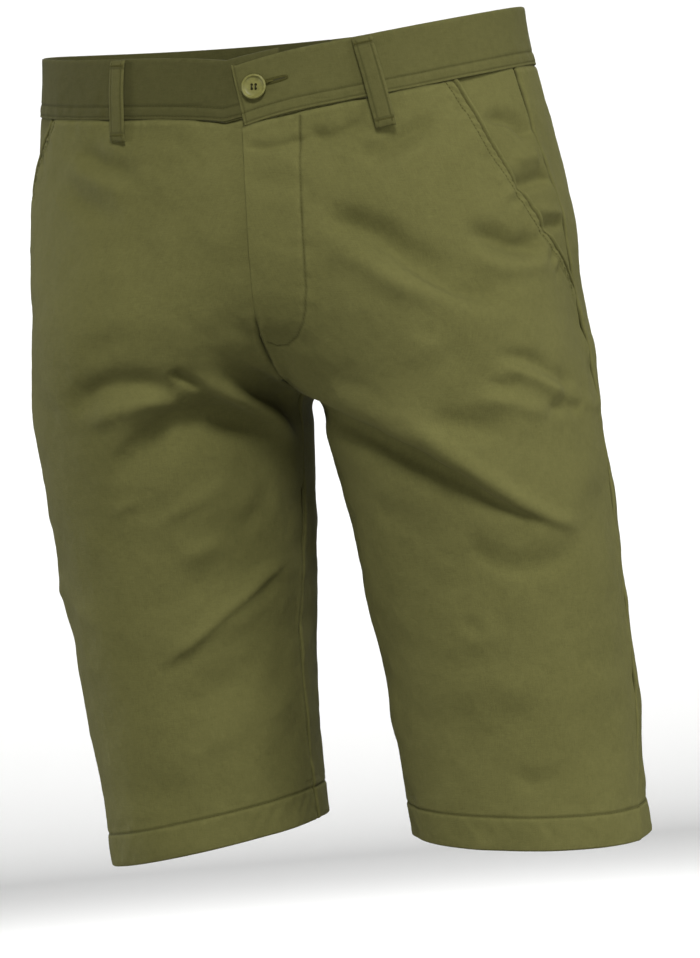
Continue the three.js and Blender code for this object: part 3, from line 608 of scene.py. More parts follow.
# %% Table of small creases
CREASES = {
    17: [
        # the great fold: its sharp edge, the ridge above it, and what runs beside it
        ([(-54, -207), (-26, -223), (0, -238), (17, -249), (42, -265.5), (70, -283), (96, -298.5),
          (116, -314), (132, -326), (146, -336)], 0.2, 0.45, 6, 1.6, 2.6, 3.0, 4),
        ([(62, -266), (72, -275), (85, -285), (102, -298), (117, -311), (136, -325), (152, -334),
          (170, -341)], 0.25, 0.12, 6, 5, 3.0),
        ([(8, -215), (60, -262)], 0.3, 0.5, 7, 6, -1.3),
        ([(0, -222), (34, -254)], 0.3, 0.4, 4, 4, 0.8),
        ([(64, -262), (88, -268), (106, -273), (126, -274)], 0.35, 0.3, 8, 7, -2.6),
        ([(114, -226), (140, -230), (156, -240), (171, -252)], 0.3, 0.2, 6, 4, -3.0),
        ([(119, -231), (143, -242), (166, -255)], 0.3, 0.2, 5, 5, 3.4),
        ([(110, -242), (134, -249)], 0.4, 0.3, 4, 4, -1.6),
        ([(100, -251), (130, -258), (156, -268)], 0.3, 0.3, 5, 6, 2.4),
        ([(149, -266), (164, -261), (176, -266)], 0.3, 0.2, 5, 5, -2.8),
        ([(20, -262), (46, -284), (66, -300)], 0.3, 0.4, 5, 5, 1.2),
        # the left hip
        ([(12, -125), (41, -138), (57, -148), (71, -161), (90, -175), (111, -185), (140, -188)],
         0.15, 0.2, 10, 8, -8.0),
        ([(18, -146), (43, -162), (62, -176), (88, -190)], 0.25, 0.3, 7, 8, 3.4),
        ([(102, -143), (126, -152), (141, -158), (158, -156)], 0.3, 0.25, 9, 6, -7.5),
        ([(107, -156), (123, -169), (143, -170), (166, -168)], 0.3, 0.2, 6, 7, 3.6),
        ([(34, -86), (55, -92), (69, -85), (83, -78), (102, -65)], 0.3, 0.3, 7, 6, -4.0),
        ([(9, -70), (24, -79), (40, -74), (50, -66)], 0.3, 0.3, 5, 5, -3.4),
        ([(56, -104), (84, -92), (112, -82)], 0.4, 0.4, 9, 9, 1.4),
        ([(54, -212), (96, -222)], 0.4, 0.4, 9, 9, 1.4),
        # behind and beside the left pocket mouth
        ([(124, -72), (145, -76), (156, -88)], 0.3, 0.2, 6, 3, -5.4),
        ([(143, -101), (161, -97)], 0.3, 0.2, 5, 5, 2.4),
        ([(139, -119), (155, -116), (168, -111)], 0.3, 0.2, 7, 4, -5.4),
        ([(151, -132), (174, -136)], 0.3, 0.2, 4, 4, 2.2),
        ([(154, -148), (174, -140)], 0.3, 0.2, 5, 4, -3.6),
        # the fly
        ([(-30, -81), (-12, -83), (4, -80), (14, -77)], 0.2, 0.3, 4, 1.6, -2.4),
        ([(-6, -90), (14, -80), (30, -71)], 0.3, 0.4, 5, 4, -1.8),
        ([(-30, -98), (0, -110)], 0.4, 0.4, 6, 6, -1.2),
        ([(6, -112), (30, -100)], 0.4, 0.4, 9, 9, 1.2),
        # the right hip
        ([(-143, -64), (-127, -78), (-111, -86), (-94, -91)], 0.3, 0.4, 8, 6, -4.2),
        ([(-152, -70), (-123, -93), (-92, -106)], 0.3, 0.5, 7, 7, 2.2),
        ([(-154, -90), (-130, -109), (-108, -122)], 0.3, 0.5, 9, 8, -3.6),
        ([(-96, -64), (-60, -76)], 0.4, 0.4, 6, 6, -1.4),
        ([(-60, -186), (-10, -214)], 0.5, 0.3, 7, 6, -1.6),
        ([(-150, -204), (-104, -190)], 0.4, 0.4, 9, 8, -1.6),
        # round the right knee's dome
        ([(-158, -248), (-149, -233), (-136, -226), (-122, -224), (-106, -226), (-93, -232), (-84, -237)],
         0.25, 0.15, 9, 6, -5.0),
        ([(-90, -218), (-81, -225), (-66, -231)], 0.25, 0.3, 4, 3, -3.4),
        ([(-152, -251), (-134, -243), (-118, -239), (-101, -237), (-86, -236)], 0.25, 0.15, 7, 6, 2.6),
        ([(-136, -290), (-126, -272), (-108, -257), (-88, -249), (-70, -247), (-50, -252), (-34, -262),
          (-20, -276), (-12, -291)], 0.15, 0.2, 7, 13, -3.4),
        ([(-78, -221), (-53, -235), (-34, -247), (-17, -262), (-7, -275)], 0.25, 0.1, 5, 5, 6.0),
        ([(-22, -286), (-46, -318), (-62, -322)], 0.3, 0.5, 7, 7, -1.6),
        # the right leg
        ([(-121, -413), (-93, -398), (-70, -381), (-47, -364), (-18, -340)], 0.3, 0.15, 7, 2.4, 2.0, 1.6, 5),
        ([(-128, -326), (-80, -303), (-51, -287)], 0.35, 0.35, 6, 6, 1.4),
        ([(-140, -306), (-112, -300)], 0.4, 0.4, 5, 5, 1.8),
        ([(-97, -342), (-61, -329)], 0.4, 0.4, 6, 6, 1.6),
        ([(-120, -440), (-80, -431), (-40, -410)], 0.4, 0.4, 12, 10, -1.8),
        ([(-112, -470), (-50, -452)], 0.4, 0.4, 12, 10, 1.4),
        # the left leg
        ([(79, -320), (109, -358), (143, -363), (174, -348)], 0.35, 0.3, 8, 6, -1.9),
        ([(20, -300), (56, -330), (80, -350)], 0.4, 0.4, 12, 9, -1.7),
        ([(82, -391), (101, -407)], 0.4, 0.4, 5, 5, -1.6),
        ([(60, -436), (130, -432)], 0.4, 0.4, 12, 12, 1.2),
        ([(103, -493), (126, -502), (151, -491)], 0.4, 0.4, 7, 6, -1.6),
    ],
    180: [
        ([(-60, -250), (-10, -214)], 0.5, 0.3, 6, 7, -1.5),
        ([(10, -214), (56, -246)], 0.3, 0.5, 7, 6, -1.4),
        ([(-44, -300), (-16, -240)], 0.5, 0.3, 6, 6, 1.1),
        ([(18, -242), (46, -306)], 0.3, 0.5, 6, 6, 1.0),
        ([(-142, -292), (-90, -268), (-30, -238)], 0.5, 0.2, 8, 2.6, 1.8, 2.6, 6),
        ([(30, -236), (88, -262), (134, -282)], 0.2, 0.5, 8, 2.6, 1.7, 2.4, 6),
        ([(-120, -104), (-60, -96)], 0.4, 0.4, 9, 8, -1.0),
        ([(50, -90), (116, -102)], 0.4, 0.4, 9, 8, -0.9),
        ([(-140, -322), (-98, -318), (-60, -300)], 0.4, 0.4, 12, 10, -1.3),
        ([(60, -300), (104, -314), (140, -318)], 0.4, 0.4, 12, 10, -1.2),
        ([(-134, -352), (-104, -346), (-66, -330)], 0.4, 0.3, 7, 4, 1.4),
        ([(66, -352), (106, -346), (142, -330)], 0.3, 0.4, 7, 4, 1.3),
        ([(-130, -470), (-60, -456)], 0.4, 0.4, 12, 12, 0.9),
        ([(64, -446), (136, -462)], 0.4, 0.4, 12, 12, 0.9),
        ([(50, -404), (92, -396), (130, -398)], 0.4, 0.4, 12, 10, -1.0),
    ],
    -90: [
        ([(-40, -190), (50, -206)], 0.4, 0.4, 12, 10, -1.1),
        ([(-50, -300), (0, -300), (50, -316)], 0.4, 0.4, 12, 10, 1.1),
        ([(-36, -346), (10, -356), (44, -350)], 0.4, 0.4, 8, 5, 1.3),
        ([(-40, -440), (50, -452)], 0.4, 0.4, 12, 12, 0.9),
    ],
    90: [
        ([(-40, -200), (50, -214)], 0.4, 0.4, 12, 10, -1.0),
        ([(-50, -322), (4, -306), (50, -306)], 0.4, 0.4, 12, 10, 1.1),
        ([(-40, -252), (6, -262), (46, -258)], 0.4, 0.4, 8, 5, 1.3),
        ([(-40, -420), (50, -440)], 0.4, 0.4, 12, 12, -1.0),
    ],
}
FLY_STITCH = [(44.5, -64), (43.6, -79), (42.4, -127), (41.5, -155), (40, -175), (37.5, -187), (33.5, -196),
              (26, -204), (16.7, -208), (9, -208), (4.2, -205.5)]
print("small creases", sum(len(rows) for rows in CREASES.values()))

# %% [markdown]
# ## From a grid to a shell
# A panel is a grid of points with a wall behind it. The outer face is fine, because that is where the
# creases are, and the inner face takes every second point, which saves half the triangles. The rim
# between them is a ring that bulges a little, as a turned edge of cloth does. The mesh also carries the
# lie of the grain as a UV map in metres, and three numbers for the material: how pale a point is, worn
# along seams and painted as highlight on raised cloth; how much painted shade lies in it, in grooves and
# hollows; and how far it stands up on a crest, which paints crests paler and troughs darker.

# %% Shell builder
def line_up(values):
    return np.ascontiguousarray(values, dtype=np.float32).ravel()


def shell(name, outer, inner, grain, marks, flipped, bulge=(0, 0, 0, 0)):
    """A closed wall from two grids. bulge is how far the rim swells at its top, right, bottom, left."""
    high, wide = outer.shape[:2]
    ring = [(i, 0) for i in range(high - 1)] + [(high - 1, j) for j in range(wide - 1)]
    ring += [(i, wide - 1) for i in range(high - 1, 0, -1)] + [(0, j) for j in range(wide - 1, 0, -1)]
    ri, rj = np.array(ring).T
    swell = np.select([ri == 0, rj == wide - 1, ri == high - 1], bulge[:3], bulge[3])[:, None]
    away = outer[ri, rj] - outer[np.clip(ri, 1, high - 2), np.clip(rj, 1, wide - 2)]
    away /= np.linalg.norm(away, axis=1, keepdims=True)
    rim = (outer[ri, rj] + inner[ri, rj]) / 2 + away * swell
    coarse = inner[::2, ::2]
    points = np.concatenate((outer.reshape(-1, 3), rim, coarse.reshape(-1, 3)))
    out = np.arange(high * wide).reshape(high, wide)
    mid = high * wide + np.arange(len(ring))
    inn = mid[-1] + 1 + np.arange(coarse.shape[0] * coarse.shape[1]).reshape(coarse.shape[:2])
    quads = [np.stack((out[:-1, :-1], out[1:, :-1], out[1:, 1:], out[:-1, 1:]), -1).reshape(-1, 4),
             np.stack((inn[:-1, :-1], inn[:-1, 1:], inn[1:, 1:], inn[1:, :-1]), -1).reshape(-1, 4)]
    edge, after = out[ri, rj], np.roll(out[ri, rj], -1)
    quads.append(np.stack((edge, mid, np.roll(mid, -1), after), -1))
    first, second = mid[0::2], mid[1::2]
    third = np.roll(first, -1)
    inside = inn[ri[0::2] // 2, rj[0::2] // 2]
    quads.append(np.stack((second, inside, np.roll(inside, -1), third), -1))
    quads = np.concatenate(quads)
    triangles = np.stack((first, inside, second), -1)
    if flipped:
        quads, triangles = quads[:, ::-1], triangles[:, ::-1]
    mesh = bpy.data.meshes.new(name)
    mesh.from_pydata((points * MM).tolist(), [], quads.tolist() + triangles.tolist())

    def carried(values):
        flat = values.reshape(high * wide, -1)
        return np.concatenate((flat, flat[edge], values[::2, ::2].reshape(len(coarse.reshape(-1, 3)), -1)))

    corners = np.empty(len(mesh.loops), np.int32)
    mesh.loops.foreach_get("vertex_index", corners)
    mesh.uv_layers.new(name="grain").data.foreach_set("uv", line_up(carried(grain * MM)[corners]))
    for key, values in zip(("pale", "dark", "crest"), marks):
        mesh.attributes.new(key, "FLOAT", "POINT").data.foreach_set("value", line_up(carried(values)))
    mesh.shade_smooth()
    mesh.set_sharp_from_angle(angle=math.radians(60))
    obj = bpy.data.objects.new(name, mesh)
    bpy.context.scene.collection.objects.link(obj)
    print(name, "triangles", 2 * len(quads) + len(triangles))
    return obj


def grain_of(p, origin):
    """Grain coordinates: across the cloth from one column, and down it by height."""
    steps = np.linalg.norm(np.diff(p, axis=1), axis=2)
    run = np.concatenate((np.zeros((len(p), 1)), np.cumsum(steps, axis=1)), axis=1)
    return np.stack((run - run[:, origin:origin + 1], p[..., 2]), -1)

# %% [markdown]
# ## The leg panels
# A chino leg has a front and a back panel, joined at the side seam and the inseam, and the two legs meet
# in the crotch seam. The left front laps over the right one at the fly. Each front stops short at the
# slanted pocket mouth. The panels are built the same way from their edges, then each gets its own relief.

# %% Panel relief
UNEVEN = [(1.8, 46), (0.9, 17), (0.25, 7)]  # strength and size of the lumps that handling leaves


def lap_lift(side, face, p):
    """How far the left front stands out where it laps over the right one."""
    if side == RIGHT or face == BACK:
        return 0.0
    across = 1 - smooth(p[..., 0], 16, 16 + FLY_LIFT_WIDTH)
    return np.where(p[..., 1] < 0, across * PLY * smooth(p[..., 2], FLY_END - 18, FLY_END + 4), 0)


def mouth_lift(side, angle, z):
    """How far the pocket mouth stands away from the piece behind it."""
    edge = MOUTH[side](z)
    return np.where(z > MOUTH_END, MOUTH_GAPE * smooth(angle, edge - 14, edge) * bump(z + 146, 30), 0)


def stitched_edge(d, run, seed):
    """A turned edge held by two rows of stitches, with the cloth roped between them."""
    strength = 0.7 + 0.3 * ripple(run, 6.0, seed + 2)
    rope = np.sin(0.95 * (run + 0.8 * d) + 2.4 * ripple(run, 11.0, seed)) * strength
    tuft = ripple(run, 5.6, seed + 1)
    near_row, far_row = d - MOUTH_ROWS[0], d - MOUTH_ROWS[1]
    height = (0.6 * bump(d - 1.0, 1.2) - 0.8 * bump(near_row, 0.8) - 0.4 * bump(far_row, 0.9)
              + 0.7 * rope * bump(d - 5.5, 2.4) + 1.2 * tuft * bump(d - 11.5, 6))
    # Pale: the edge and the roped cloth, worn pale and painted as highlight where rope and tufts stand up;
    # dark: painted shade in the stitch grooves and between sunken tufts.
    pale = np.maximum.reduce([bump(d - 0.8, 1.0), (0.45 + 0.4 * rope) * bump(d - 5.5, 2.2),
                              np.clip(tuft, 0, 1) * bump(d - 9.5, 5.5)])
    dark = np.maximum.reduce([bump(near_row, 0.75), 0.45 * bump(far_row, 0.75),
                              0.45 * np.clip(-tuft, 0, 1) * bump(d - 10.5, 5)])
    return height, pale, dark


def seam_roll(d, run, seed, depth=1.0):
    """A panel's edge that rolls into a plain seam, with faint puckers beside it."""
    pucker = ripple(run, 8.0, seed) * bump(d - 3, 6)
    height = -depth * bump(d, 1.3) + 0.3 * bump(d - 3.6, 2.2) + 0.32 * pucker
    # Pale: the ridge beside the seam, worn and painted as highlight; dark: painted shade in the seam's
    # groove.
    return height, bump(d - 2.8, 1.5) * (0.7 + 0.3 * ripple(run, 5.0, seed + 1)), bump(d, 1.0)


def panel_relief(side, face, p, lines, seed):
    """Relief of a panel at points, how pale its seams are, worn and with painted highlight, and its painted
    shade in grooves.
    """
    z = p[..., 2]
    height = folded(CREASES, p[..., 0], p[..., 1], z, one_crease)
    for k, (strength, size) in enumerate(UNEVEN):
        height += strength * clouds(p, size, seed + k)
    pale, dark = np.zeros(z.shape), np.zeros(z.shape)

    def add(made, share=1.0):
        nonlocal height, pale, dark
        height = height + share * made[0]
        pale, dark = np.maximum(pale, share * made[1]), np.maximum(dark, share * made[2])

    d, run = near(p, lines["waist"])
    add(seam_roll(d, run, seed + 3, 0.8))
    height = height + 0.42 * ripple(run, 8.0, seed + 4) * bump(d - 4, 9)
    d, run = near(p, lines["inner"])
    sewn = smooth(-z, -FLY_END - 4, -FLY_END + 8) if face == FRONT else 1.0
    add(seam_roll(d, run, seed + 5), sewn)
    height = height + (1 - sewn) * 0.15 * ripple(run, 12, seed + 6) * bump(d, 6)
    d, run = near(p, lines["outer"])
    open_mouth = smooth(z, MOUTH_END - 2, MOUTH_END + 3) if face == FRONT else 0.0
    add(stitched_edge(d, run, seed + 7), open_mouth)
    add(seam_roll(d, run, seed + 8), 1 - open_mouth)
    d, run = near(p, lines["hem"])
    twist = ripple(run + 0.8 * d, 6.0, seed + 9)
    # Pale: the hem's edge and ridge, worn and painted as highlight; dark: painted shade in the stitch groove.
    add((0.4 * smooth(-d, -HEM_HEIGHT, -HEM_HEIGHT + 2) - 0.8 * bump(d - HEM_ROW, 1.0) - 0.3 * bump(d, 1.2)
         + 0.4 * twist * bump(d - 12, 8) + 0.4 * ripple(run, 8.0, seed + 10) * bump(d - 25, 4),
         np.maximum(bump(d - 0.6, 1.2), 0.7 * bump(d - 18.8, 1.3)), bump(d - HEM_ROW, 0.9)))
    if "fly" in lines:
        d, run = near(p, lines["fly"])
        # Pale beside the fly's row, worn and painted as highlight; dark: painted shade in the row's groove.
        add((-0.75 * bump(d, 1.0) + 0.45 * ripple(run, 6.5, seed + 11) * bump(d - 2, 6),
             0.5 * bump(d - 2.4, 1.3), bump(d, 0.9)))
    return height, pale, dark

# %% Panel builder
QUALITY = 1.0


def odd(count):
    return 2 * int(count * QUALITY / 2) + 1


def panel(side, face, columns, rows, seed):
    name = f"{'front' if face == FRONT else 'back'}_{SIDE_NAME[side]}"
    laps = (side, face) == (LEFT, FRONT)
    level = crowd(rows, (0, 0.02, 2.0), (1, 0.01, 1.5), (0.956, 0.008, 2.5))
    u = crowd(columns, (0, 0.02, 2.5), (1, 0.035, 2.5), *([(0.17, 0.02, 1.6)] if laps else []))[None, :]
    in_angle, in_z = (v[:, None] for v in inner_edge(side, face, level))
    out_angle, out_z = (v[:, None] for v in outer_edge(side, face, level))
    top, hem = PANEL_TOP[side], PANEL_HEM[side]
    angle = in_angle + (out_angle - in_angle) * u
    high = top(angle) - (top(in_angle) + (top(out_angle) - top(in_angle)) * u)
    low = hem(angle) - (hem(in_angle) + (hem(out_angle) - hem(in_angle)) * u)
    level = level[:, None]
    z = in_z + (out_z - in_z) * u + high * (1 - level) ** 4 + low * level ** 4
    p = at(side, angle, z)
    n = normal(p)
    lines = {"waist": p[0, ::3], "hem": p[-1, ::3], "inner": p[::4, 0], "outer": p[::4, -1]}
    if laps:
        lines["fly"] = on_centre(FRONT, *np.array(FLY_STITCH, float).T)
    height, pale, dark = panel_relief(side, face, p, lines, seed)
    lift = lap_lift(side, face, p) + (mouth_lift(side, angle, z) if face == FRONT else 0)
    stands = (lift + height)[..., None]
    in_hem = smooth(-near(p, lines["hem"])[0], -HEM_HEIGHT, -HEM_HEIGHT + 1.2)
    thick = (CLOTH + (HEM_WALL - CLOTH) * in_hem)[..., None]
    # The crest mask paints fold crests paler and troughs darker in the twill: painted highlight and shade,
    # over a little wear.
    crest = np.clip((folded(FOLDS, p[..., 0], p[..., 1], z) + height) / 6, -1, 1)
    outer, inner = p + n * stands, p + n * (stands - thick)
    bulge = (0.25, 0.2, 0.8, 0.5 if laps else 0.2)
    obj = shell("cloth_" + name, outer, inner, grain_of(p, columns // 2), (pale, dark, crest),
                (side == RIGHT) != (face == BACK), bulge)
    return {"object": obj, "name": name, "lines": lines, "seed": seed, "p": p, "outer": outer, "n": n}


PANELS = {}
for seed, (side, face) in enumerate([(LEFT, FRONT), (RIGHT, FRONT), (LEFT, BACK), (RIGHT, BACK)]):
    PANELS[(side, face)] = panel(side, face, odd(196), odd(384), 100 * seed + 10)

# %% [markdown]
# ## Behind the pocket mouths
# A slanted pocket shows a facing of the same twill between its mouth and the side seam. Its front part
# hides behind the mouth, so it starts well inside and comes up level with the back panel at the seam.

# %% Pocket facings
def facing(side, seed):
    per_mm = math.degrees(1) / 130
    level, u = np.meshgrid(crowd(odd(130)), crowd(odd(50)), indexing="ij")
    top = PANEL_TOP[side](SIDE_SEAM[side](-40.0))
    edge = top + (POCKET_END - top) * level
    trim = per_mm * (2 + (0.6 - 2) * smooth(edge, MOUTH_END, MOUTH_END + 14))
    seam = SIDE_SEAM[side](edge) - trim
    begin = np.minimum(MOUTH[side](edge), seam - 2) - POCKET_TUCK * per_mm
    angle = begin + (seam - begin) * u
    z = edge + (PANEL_TOP[side](angle) - top) * (1 - level)
    shown = np.clip((angle - MOUTH[side](z)) / np.maximum(seam - MOUTH[side](z), 0.01), 0, 1)
    raised = smooth(shown, 0.1, 1) * smooth(z, MOUTH_END + 22, MOUTH_END + 50)
    p = at(side, angle, z)
    n = normal(p)
    lift = (-POCKET_DEPTH * (1 - raised))[..., None]
    d, run = near(p, p[::3, -1])
    height, pale, dark = seam_roll(d, run, seed)
    height = height + 0.35 * clouds(p, 20, seed + 1)
    height += folded(CREASES, p[..., 0], p[..., 1], z, one_crease)
    d_top = near(p, p[0, ::3])[0]
    height += -0.5 * bump(d_top, 1.2)
    height = height[..., None]
    name = "pocket_facing_" + SIDE_NAME[side]
    # Dark: painted shade in the seam's groove and along the top edge under the band.
    obj = shell("cloth_" + name, p + n * (lift + height), p + n * (lift + height - CLOTH), grain_of(p, 0),
                (pale, np.maximum(dark, bump(d_top, 1.0)), 0 * z), side == RIGHT)
    return {"object": obj, "name": name, "p": p}


FACINGS = {side: facing(side, 500 + side) for side in (LEFT, RIGHT)}

# %% [markdown]
# ## The waistband
# The band is a folded strip, stiffer than the panels and standing a little proud of them. Its left half
# runs on past the centre and laps over the right half. Two rows of stitches follow its lower edge.

# %% Waistband
def band_end(side, face, x, level):
    top = on_centre(face, x, -12.0)
    return on_centre(face, x, waist_top(side, x, top[..., 1]) - BAND_HEIGHT * level)


def lap_share(x):
    """1 where the band's over end lies on the under one, and 0 past it."""
    return 1 - smooth(x, UNDER_END + 3, UNDER_END + 40)


def band_points(side, level, u):
    """Points of half the band: level runs from its top edge to its bottom edge, u from the fly back."""
    x_front = 1.2 + 6.2 * level if side == LEFT else UNDER_END + 0 * level
    front = angle_of(side, band_end(side, FRONT, x_front, level))
    back = angle_of(side, band_end(side, BACK, side * SEAM_GAP / 2 + 0 * level, level)) + 360
    angle = front + (back - front) * u
    guess = at(side, angle, -12 - BAND_HEIGHT * level)
    z = waist_top(side, guess[..., 0], guess[..., 1]) - BAND_HEIGHT * level
    p = at(side, angle, z)
    lap = np.where((p[..., 1] < 0) & (side == LEFT), lap_share(p[..., 0]), 0)
    return p, BAND_PROUD + lap * BAND_LAP


def waistband(side, seed):
    over = side == LEFT
    level, u = np.meshgrid(crowd(odd(44), (0, 0.03, 1), (1, 0.12, 2)), crowd(odd(330), (0, 0.01, 2)),
                           indexing="ij")
    p, lift = band_points(side, level, u)
    n = normal(p)
    top, run = near(p, p[0, ::4])
    low, _ = near(p, p[-1, ::4])
    end, _ = near(p, p[::3, 0])
    back, _ = near(p, p[::3, -1])
    height = -0.35 * bump(top, 1.0) - 0.3 * bump(low, 0.8)
    height += 0.8 * clouds(p, 30, seed) + 0.25 * clouds(p, 9, seed + 1)
    height += -0.6 * bump(low - BAND_ROWS[1], 0.8) - 0.45 * bump(low - BAND_ROWS[0], 0.6)
    height += 0.4 * ripple(run, 5.5, seed + 2) * bump(low - 5, 3)
    height += 0.6 * ripple(run, 9, seed + 3) * bump(low - 13, 6)
    height += -0.5 * bump(back, 1.2) - 0.35 * bump(end - END_ROW, 0.6) * over
    # Pale: edges and the cloth between the rows, worn and painted as highlight; dark: painted shade in the
    # stitch grooves, the back seam and the end row.
    pale = np.maximum.reduce([bump(top - 0.5, 1.2), 0.8 * bump(low - 0.2, 0.9), 0.5 * bump(low - 6.6, 1.3),
                              bump(end, 1.0) * over])
    dark = np.maximum.reduce([bump(low - BAND_ROWS[1], 0.7), 0.8 * bump(low - BAND_ROWS[0], 0.55),
                              bump(back, 0.9), 0.8 * bump(end - END_ROW, 0.5) * over])
    outer = p + n * (lift + height)[..., None]
    inner = p + n * (lift + 0.5 * height - BAND_WALL)[..., None]
    name = "waistband_" + SIDE_NAME[side]
    obj = shell("cloth_" + name, outer, inner, grain_of(p, 0)[..., ::-1], (pale, dark, 0 * pale),
                side == RIGHT, (0.5, 0.05, 0.3, 0.6 if over else 0.3))
    return {"object": obj, "name": name, "outer": outer, "n": n, "p": p}


BANDS = {side: waistband(side, 600 + side) for side in (LEFT, RIGHT)}

# %% [markdown]
# ## Belt loops
# A loop is a narrow strip, folded in three and pressed, that crosses the waistband and is sewn down at
# both ends. Its edges are rounded and a little thicker than its middle, and it stands off the band so
# that a belt can pass. Its ends are turned under, which makes them thick.

# %% Belt loops
LOOP = ("side", "face", "x_top", "x_bottom", "length")
LOOPS = {
    "front_left": (LEFT, FRONT, 84, 97, 61), "front_right": (RIGHT, FRONT, -79, -81, 53.5),
    "back_left": (LEFT, BACK, 92, 94, 57), "back_right": (RIGHT, BACK, -92, -94, 57),
    "centre_back": (LEFT, BACK, 0, 0, 57),
}
LOOP_WIDTH, LOOP_WALL, LOOP_ROOM, LOOP_TILT = 11.4, 1.5, 2.4, 1.4


def loop_face(loop, level, across, depth):
    """Points of a loop: level from its top end to its bottom end, across from -0.5 to 0.5."""
    x = loop["x_top"] + (loop["x_bottom"] - loop["x_top"]) * level + across * LOOP_WIDTH
    top = on_centre(loop["face"], x, -10.0)
    z = waist_top(loop["side"], x, top[..., 1]) - 1 - loop["length"] * level
    p = on_centre(loop["face"], x, z)
    n = normal(p)
    away = BAND_PROUD + 0.4 + LOOP_ROOM * np.abs(np.sin(np.pi * level)) ** 0.6
    away = away + LOOP_TILT * (0.5 + across) * (loop["face"] == FRONT)
    return p + n * (away + depth)[..., None], n


def belt_loop(name, seed):
    loop = dict(zip(LOOP, LOOPS[name]))
    level, across = np.meshgrid(crowd(odd(76), (0, 0.04, 2), (1, 0.04, 2)),
                                crowd(odd(26), (0, 0.1, 3), (1, 0.1, 3)) - 0.5, indexing="ij")
    mm_across, mm_down = across * LOOP_WIDTH, level * loop["length"]
    ends = np.minimum(mm_down, loop["length"] - mm_down)
    sides = np.abs(mm_across) - LOOP_WIDTH / 2
    rows = bump(sides + 1.8, 0.6)
    height = LOOP_WALL + 0.1 - 0.6 * bump(sides, 0.8) - 0.35 * rows * (ends > 3)
    height += 0.35 * bump(ends - 3.2, 1.6) - 0.35 * bump(ends, 0.9)
    height += 0.2 * ripple(mm_down + 3 * across, 6, seed)
    outer, n = loop_face(loop, level, across, height)
    inner, _ = loop_face(loop, level, across, 0 * height)
    # Pale: the rounded sides and turned ends, worn and painted as highlight; dark: painted shade in the
    # stitch grooves and beside the turned ends.
    pale = np.maximum(bump(sides, 0.9), 0.7 * bump(ends - 3.6, 1.0))
    dark = np.maximum(0.9 * rows * (ends > 2), bump(ends - 5.4, 0.7))
    obj = shell("cloth_belt_loop_" + name, outer, inner, np.stack((mm_across, -mm_down), -1),
                (pale, dark, 0 * pale), loop["face"] == BACK, (0.25, 0.3, 0.25, 0.3))
    return {"object": obj, "name": "belt_loop_" + name, "outer": outer, "n": n, "length": loop["length"],
            "side": loop["side"]}


LOOP_SHELLS = {name: belt_loop(name, 700 + seed) for seed, name in enumerate(LOOPS)}

# %% [markdown]
# ## The button
# A four-hole plastic button has a raised rim round a shallow dish. A turned profile makes its body, and
# four holes are cut through it. It sits flat on the band's over end, on a short shank of thread.

# %% Button
BUTTON_X, BUTTON_BELOW, BUTTON_SIDES, DRILL_SIDES = 16.0, 18, 72, 20
HOLE_RADIUS, HOLE_SPACING = 0.95, 2.6
PROFILE = [(0, 0.5), (6.4, 0.5), (7.4, 0.75), (7.95, 1.2), (8.2, 1.8), (8.12, 2.4), (7.8, 2.85), (7.35, 3.0),
           (7.0, 2.95), (6.75, 2.75), (6.5, 2.2), (6.1, 1.75), (4.8, 1.5), (2.6, 1.42), (0, 1.4)]
DRILL = [(0, -1), (HOLE_RADIUS, -1), (HOLE_RADIUS, 5), (0, 5)]
seat_top = on_centre(FRONT, BUTTON_X, -20.0)
seat = on_centre(FRONT, BUTTON_X, waist_top(LEFT, BUTTON_X, seat_top[1]) - BUTTON_BELOW)
seat_normal = normal(seat)
BUTTON_PLACE = Matrix.Translation(Vector((seat + seat_normal * (BAND_PROUD + BAND_LAP)) * MM))
BUTTON_TURN = Vector((0, 0, 1)).rotation_difference(Vector(seat_normal)).to_matrix().to_4x4()


def keep(obj):
    """Applies a piece's modifiers to its mesh."""
    mesh = bpy.data.meshes.new_from_object(obj.evaluated_get(bpy.context.evaluated_depsgraph_get()))
    obj.modifiers.clear()
    obj.data = mesh


def new_object(name, points, faces=(), edges=()):
    mesh = bpy.data.meshes.new(name)
    mesh.from_pydata([tuple(p) for p in points], list(edges), [tuple(f) for f in faces])
    obj = bpy.data.objects.new(name, mesh)
    bpy.context.scene.collection.objects.link(obj)
    return obj


def turned(name, rings, sides):
    """A closed body turned about +Z from a profile that starts and ends on the axis. Millimetres."""
    angles = [2 * math.pi * k / sides for k in range(sides)]
    points = [(0, 0, rings[0][1] * MM)]
    points += [(r * MM * math.cos(a), r * MM * math.sin(a), z * MM) for r, z in rings[1:-1] for a in angles]
    points.append((0, 0, rings[-1][1] * MM))
    last = 1 + (len(rings) - 3) * sides
    faces = []
    for k in range(sides):
        n = (k + 1) % sides
        faces.append((0, 1 + n, 1 + k))
        faces += [(a + k, a + n, a + sides + n, a + sides + k) for a in range(1, last, sides)]
        faces.append((last + k, last + n, len(points) - 1))
    return new_object(name, points, faces)


button = turned("button", PROFILE, BUTTON_SIDES)
for i in (-1, 1):
    for j in (-1, 1):
        drill = turned("drill", DRILL, DRILL_SIDES)
        drill.location = (i * HOLE_SPACING / 2 * MM, j * HOLE_SPACING / 2 * MM, 0)
        cut = button.modifiers.new("hole", "BOOLEAN")
        cut.operation, cut.object, cut.solver = "DIFFERENCE", drill, "EXACT"
        keep(button)
        bpy.data.objects.remove(drill)
button.data.transform(BUTTON_PLACE @ BUTTON_TURN)
button.data.shade_smooth()
button.data.set_sharp_from_angle(angle=math.radians(38))
print("button", len(button.data.polygons), "faces")

# %% [markdown]
# ## Rows of stitches
# A lockstitch row is a string of short thread arcs, each dipping into the cloth at both ends. One
# Geometry Nodes tree sews every row: it divides a path by the stitch pitch and puts a small arc on each
# division, standing on the cloth by the path's own "out" direction. Turned through ninety degrees and
# set close, the same arcs make bar tacks and the edge of the buttonhole.

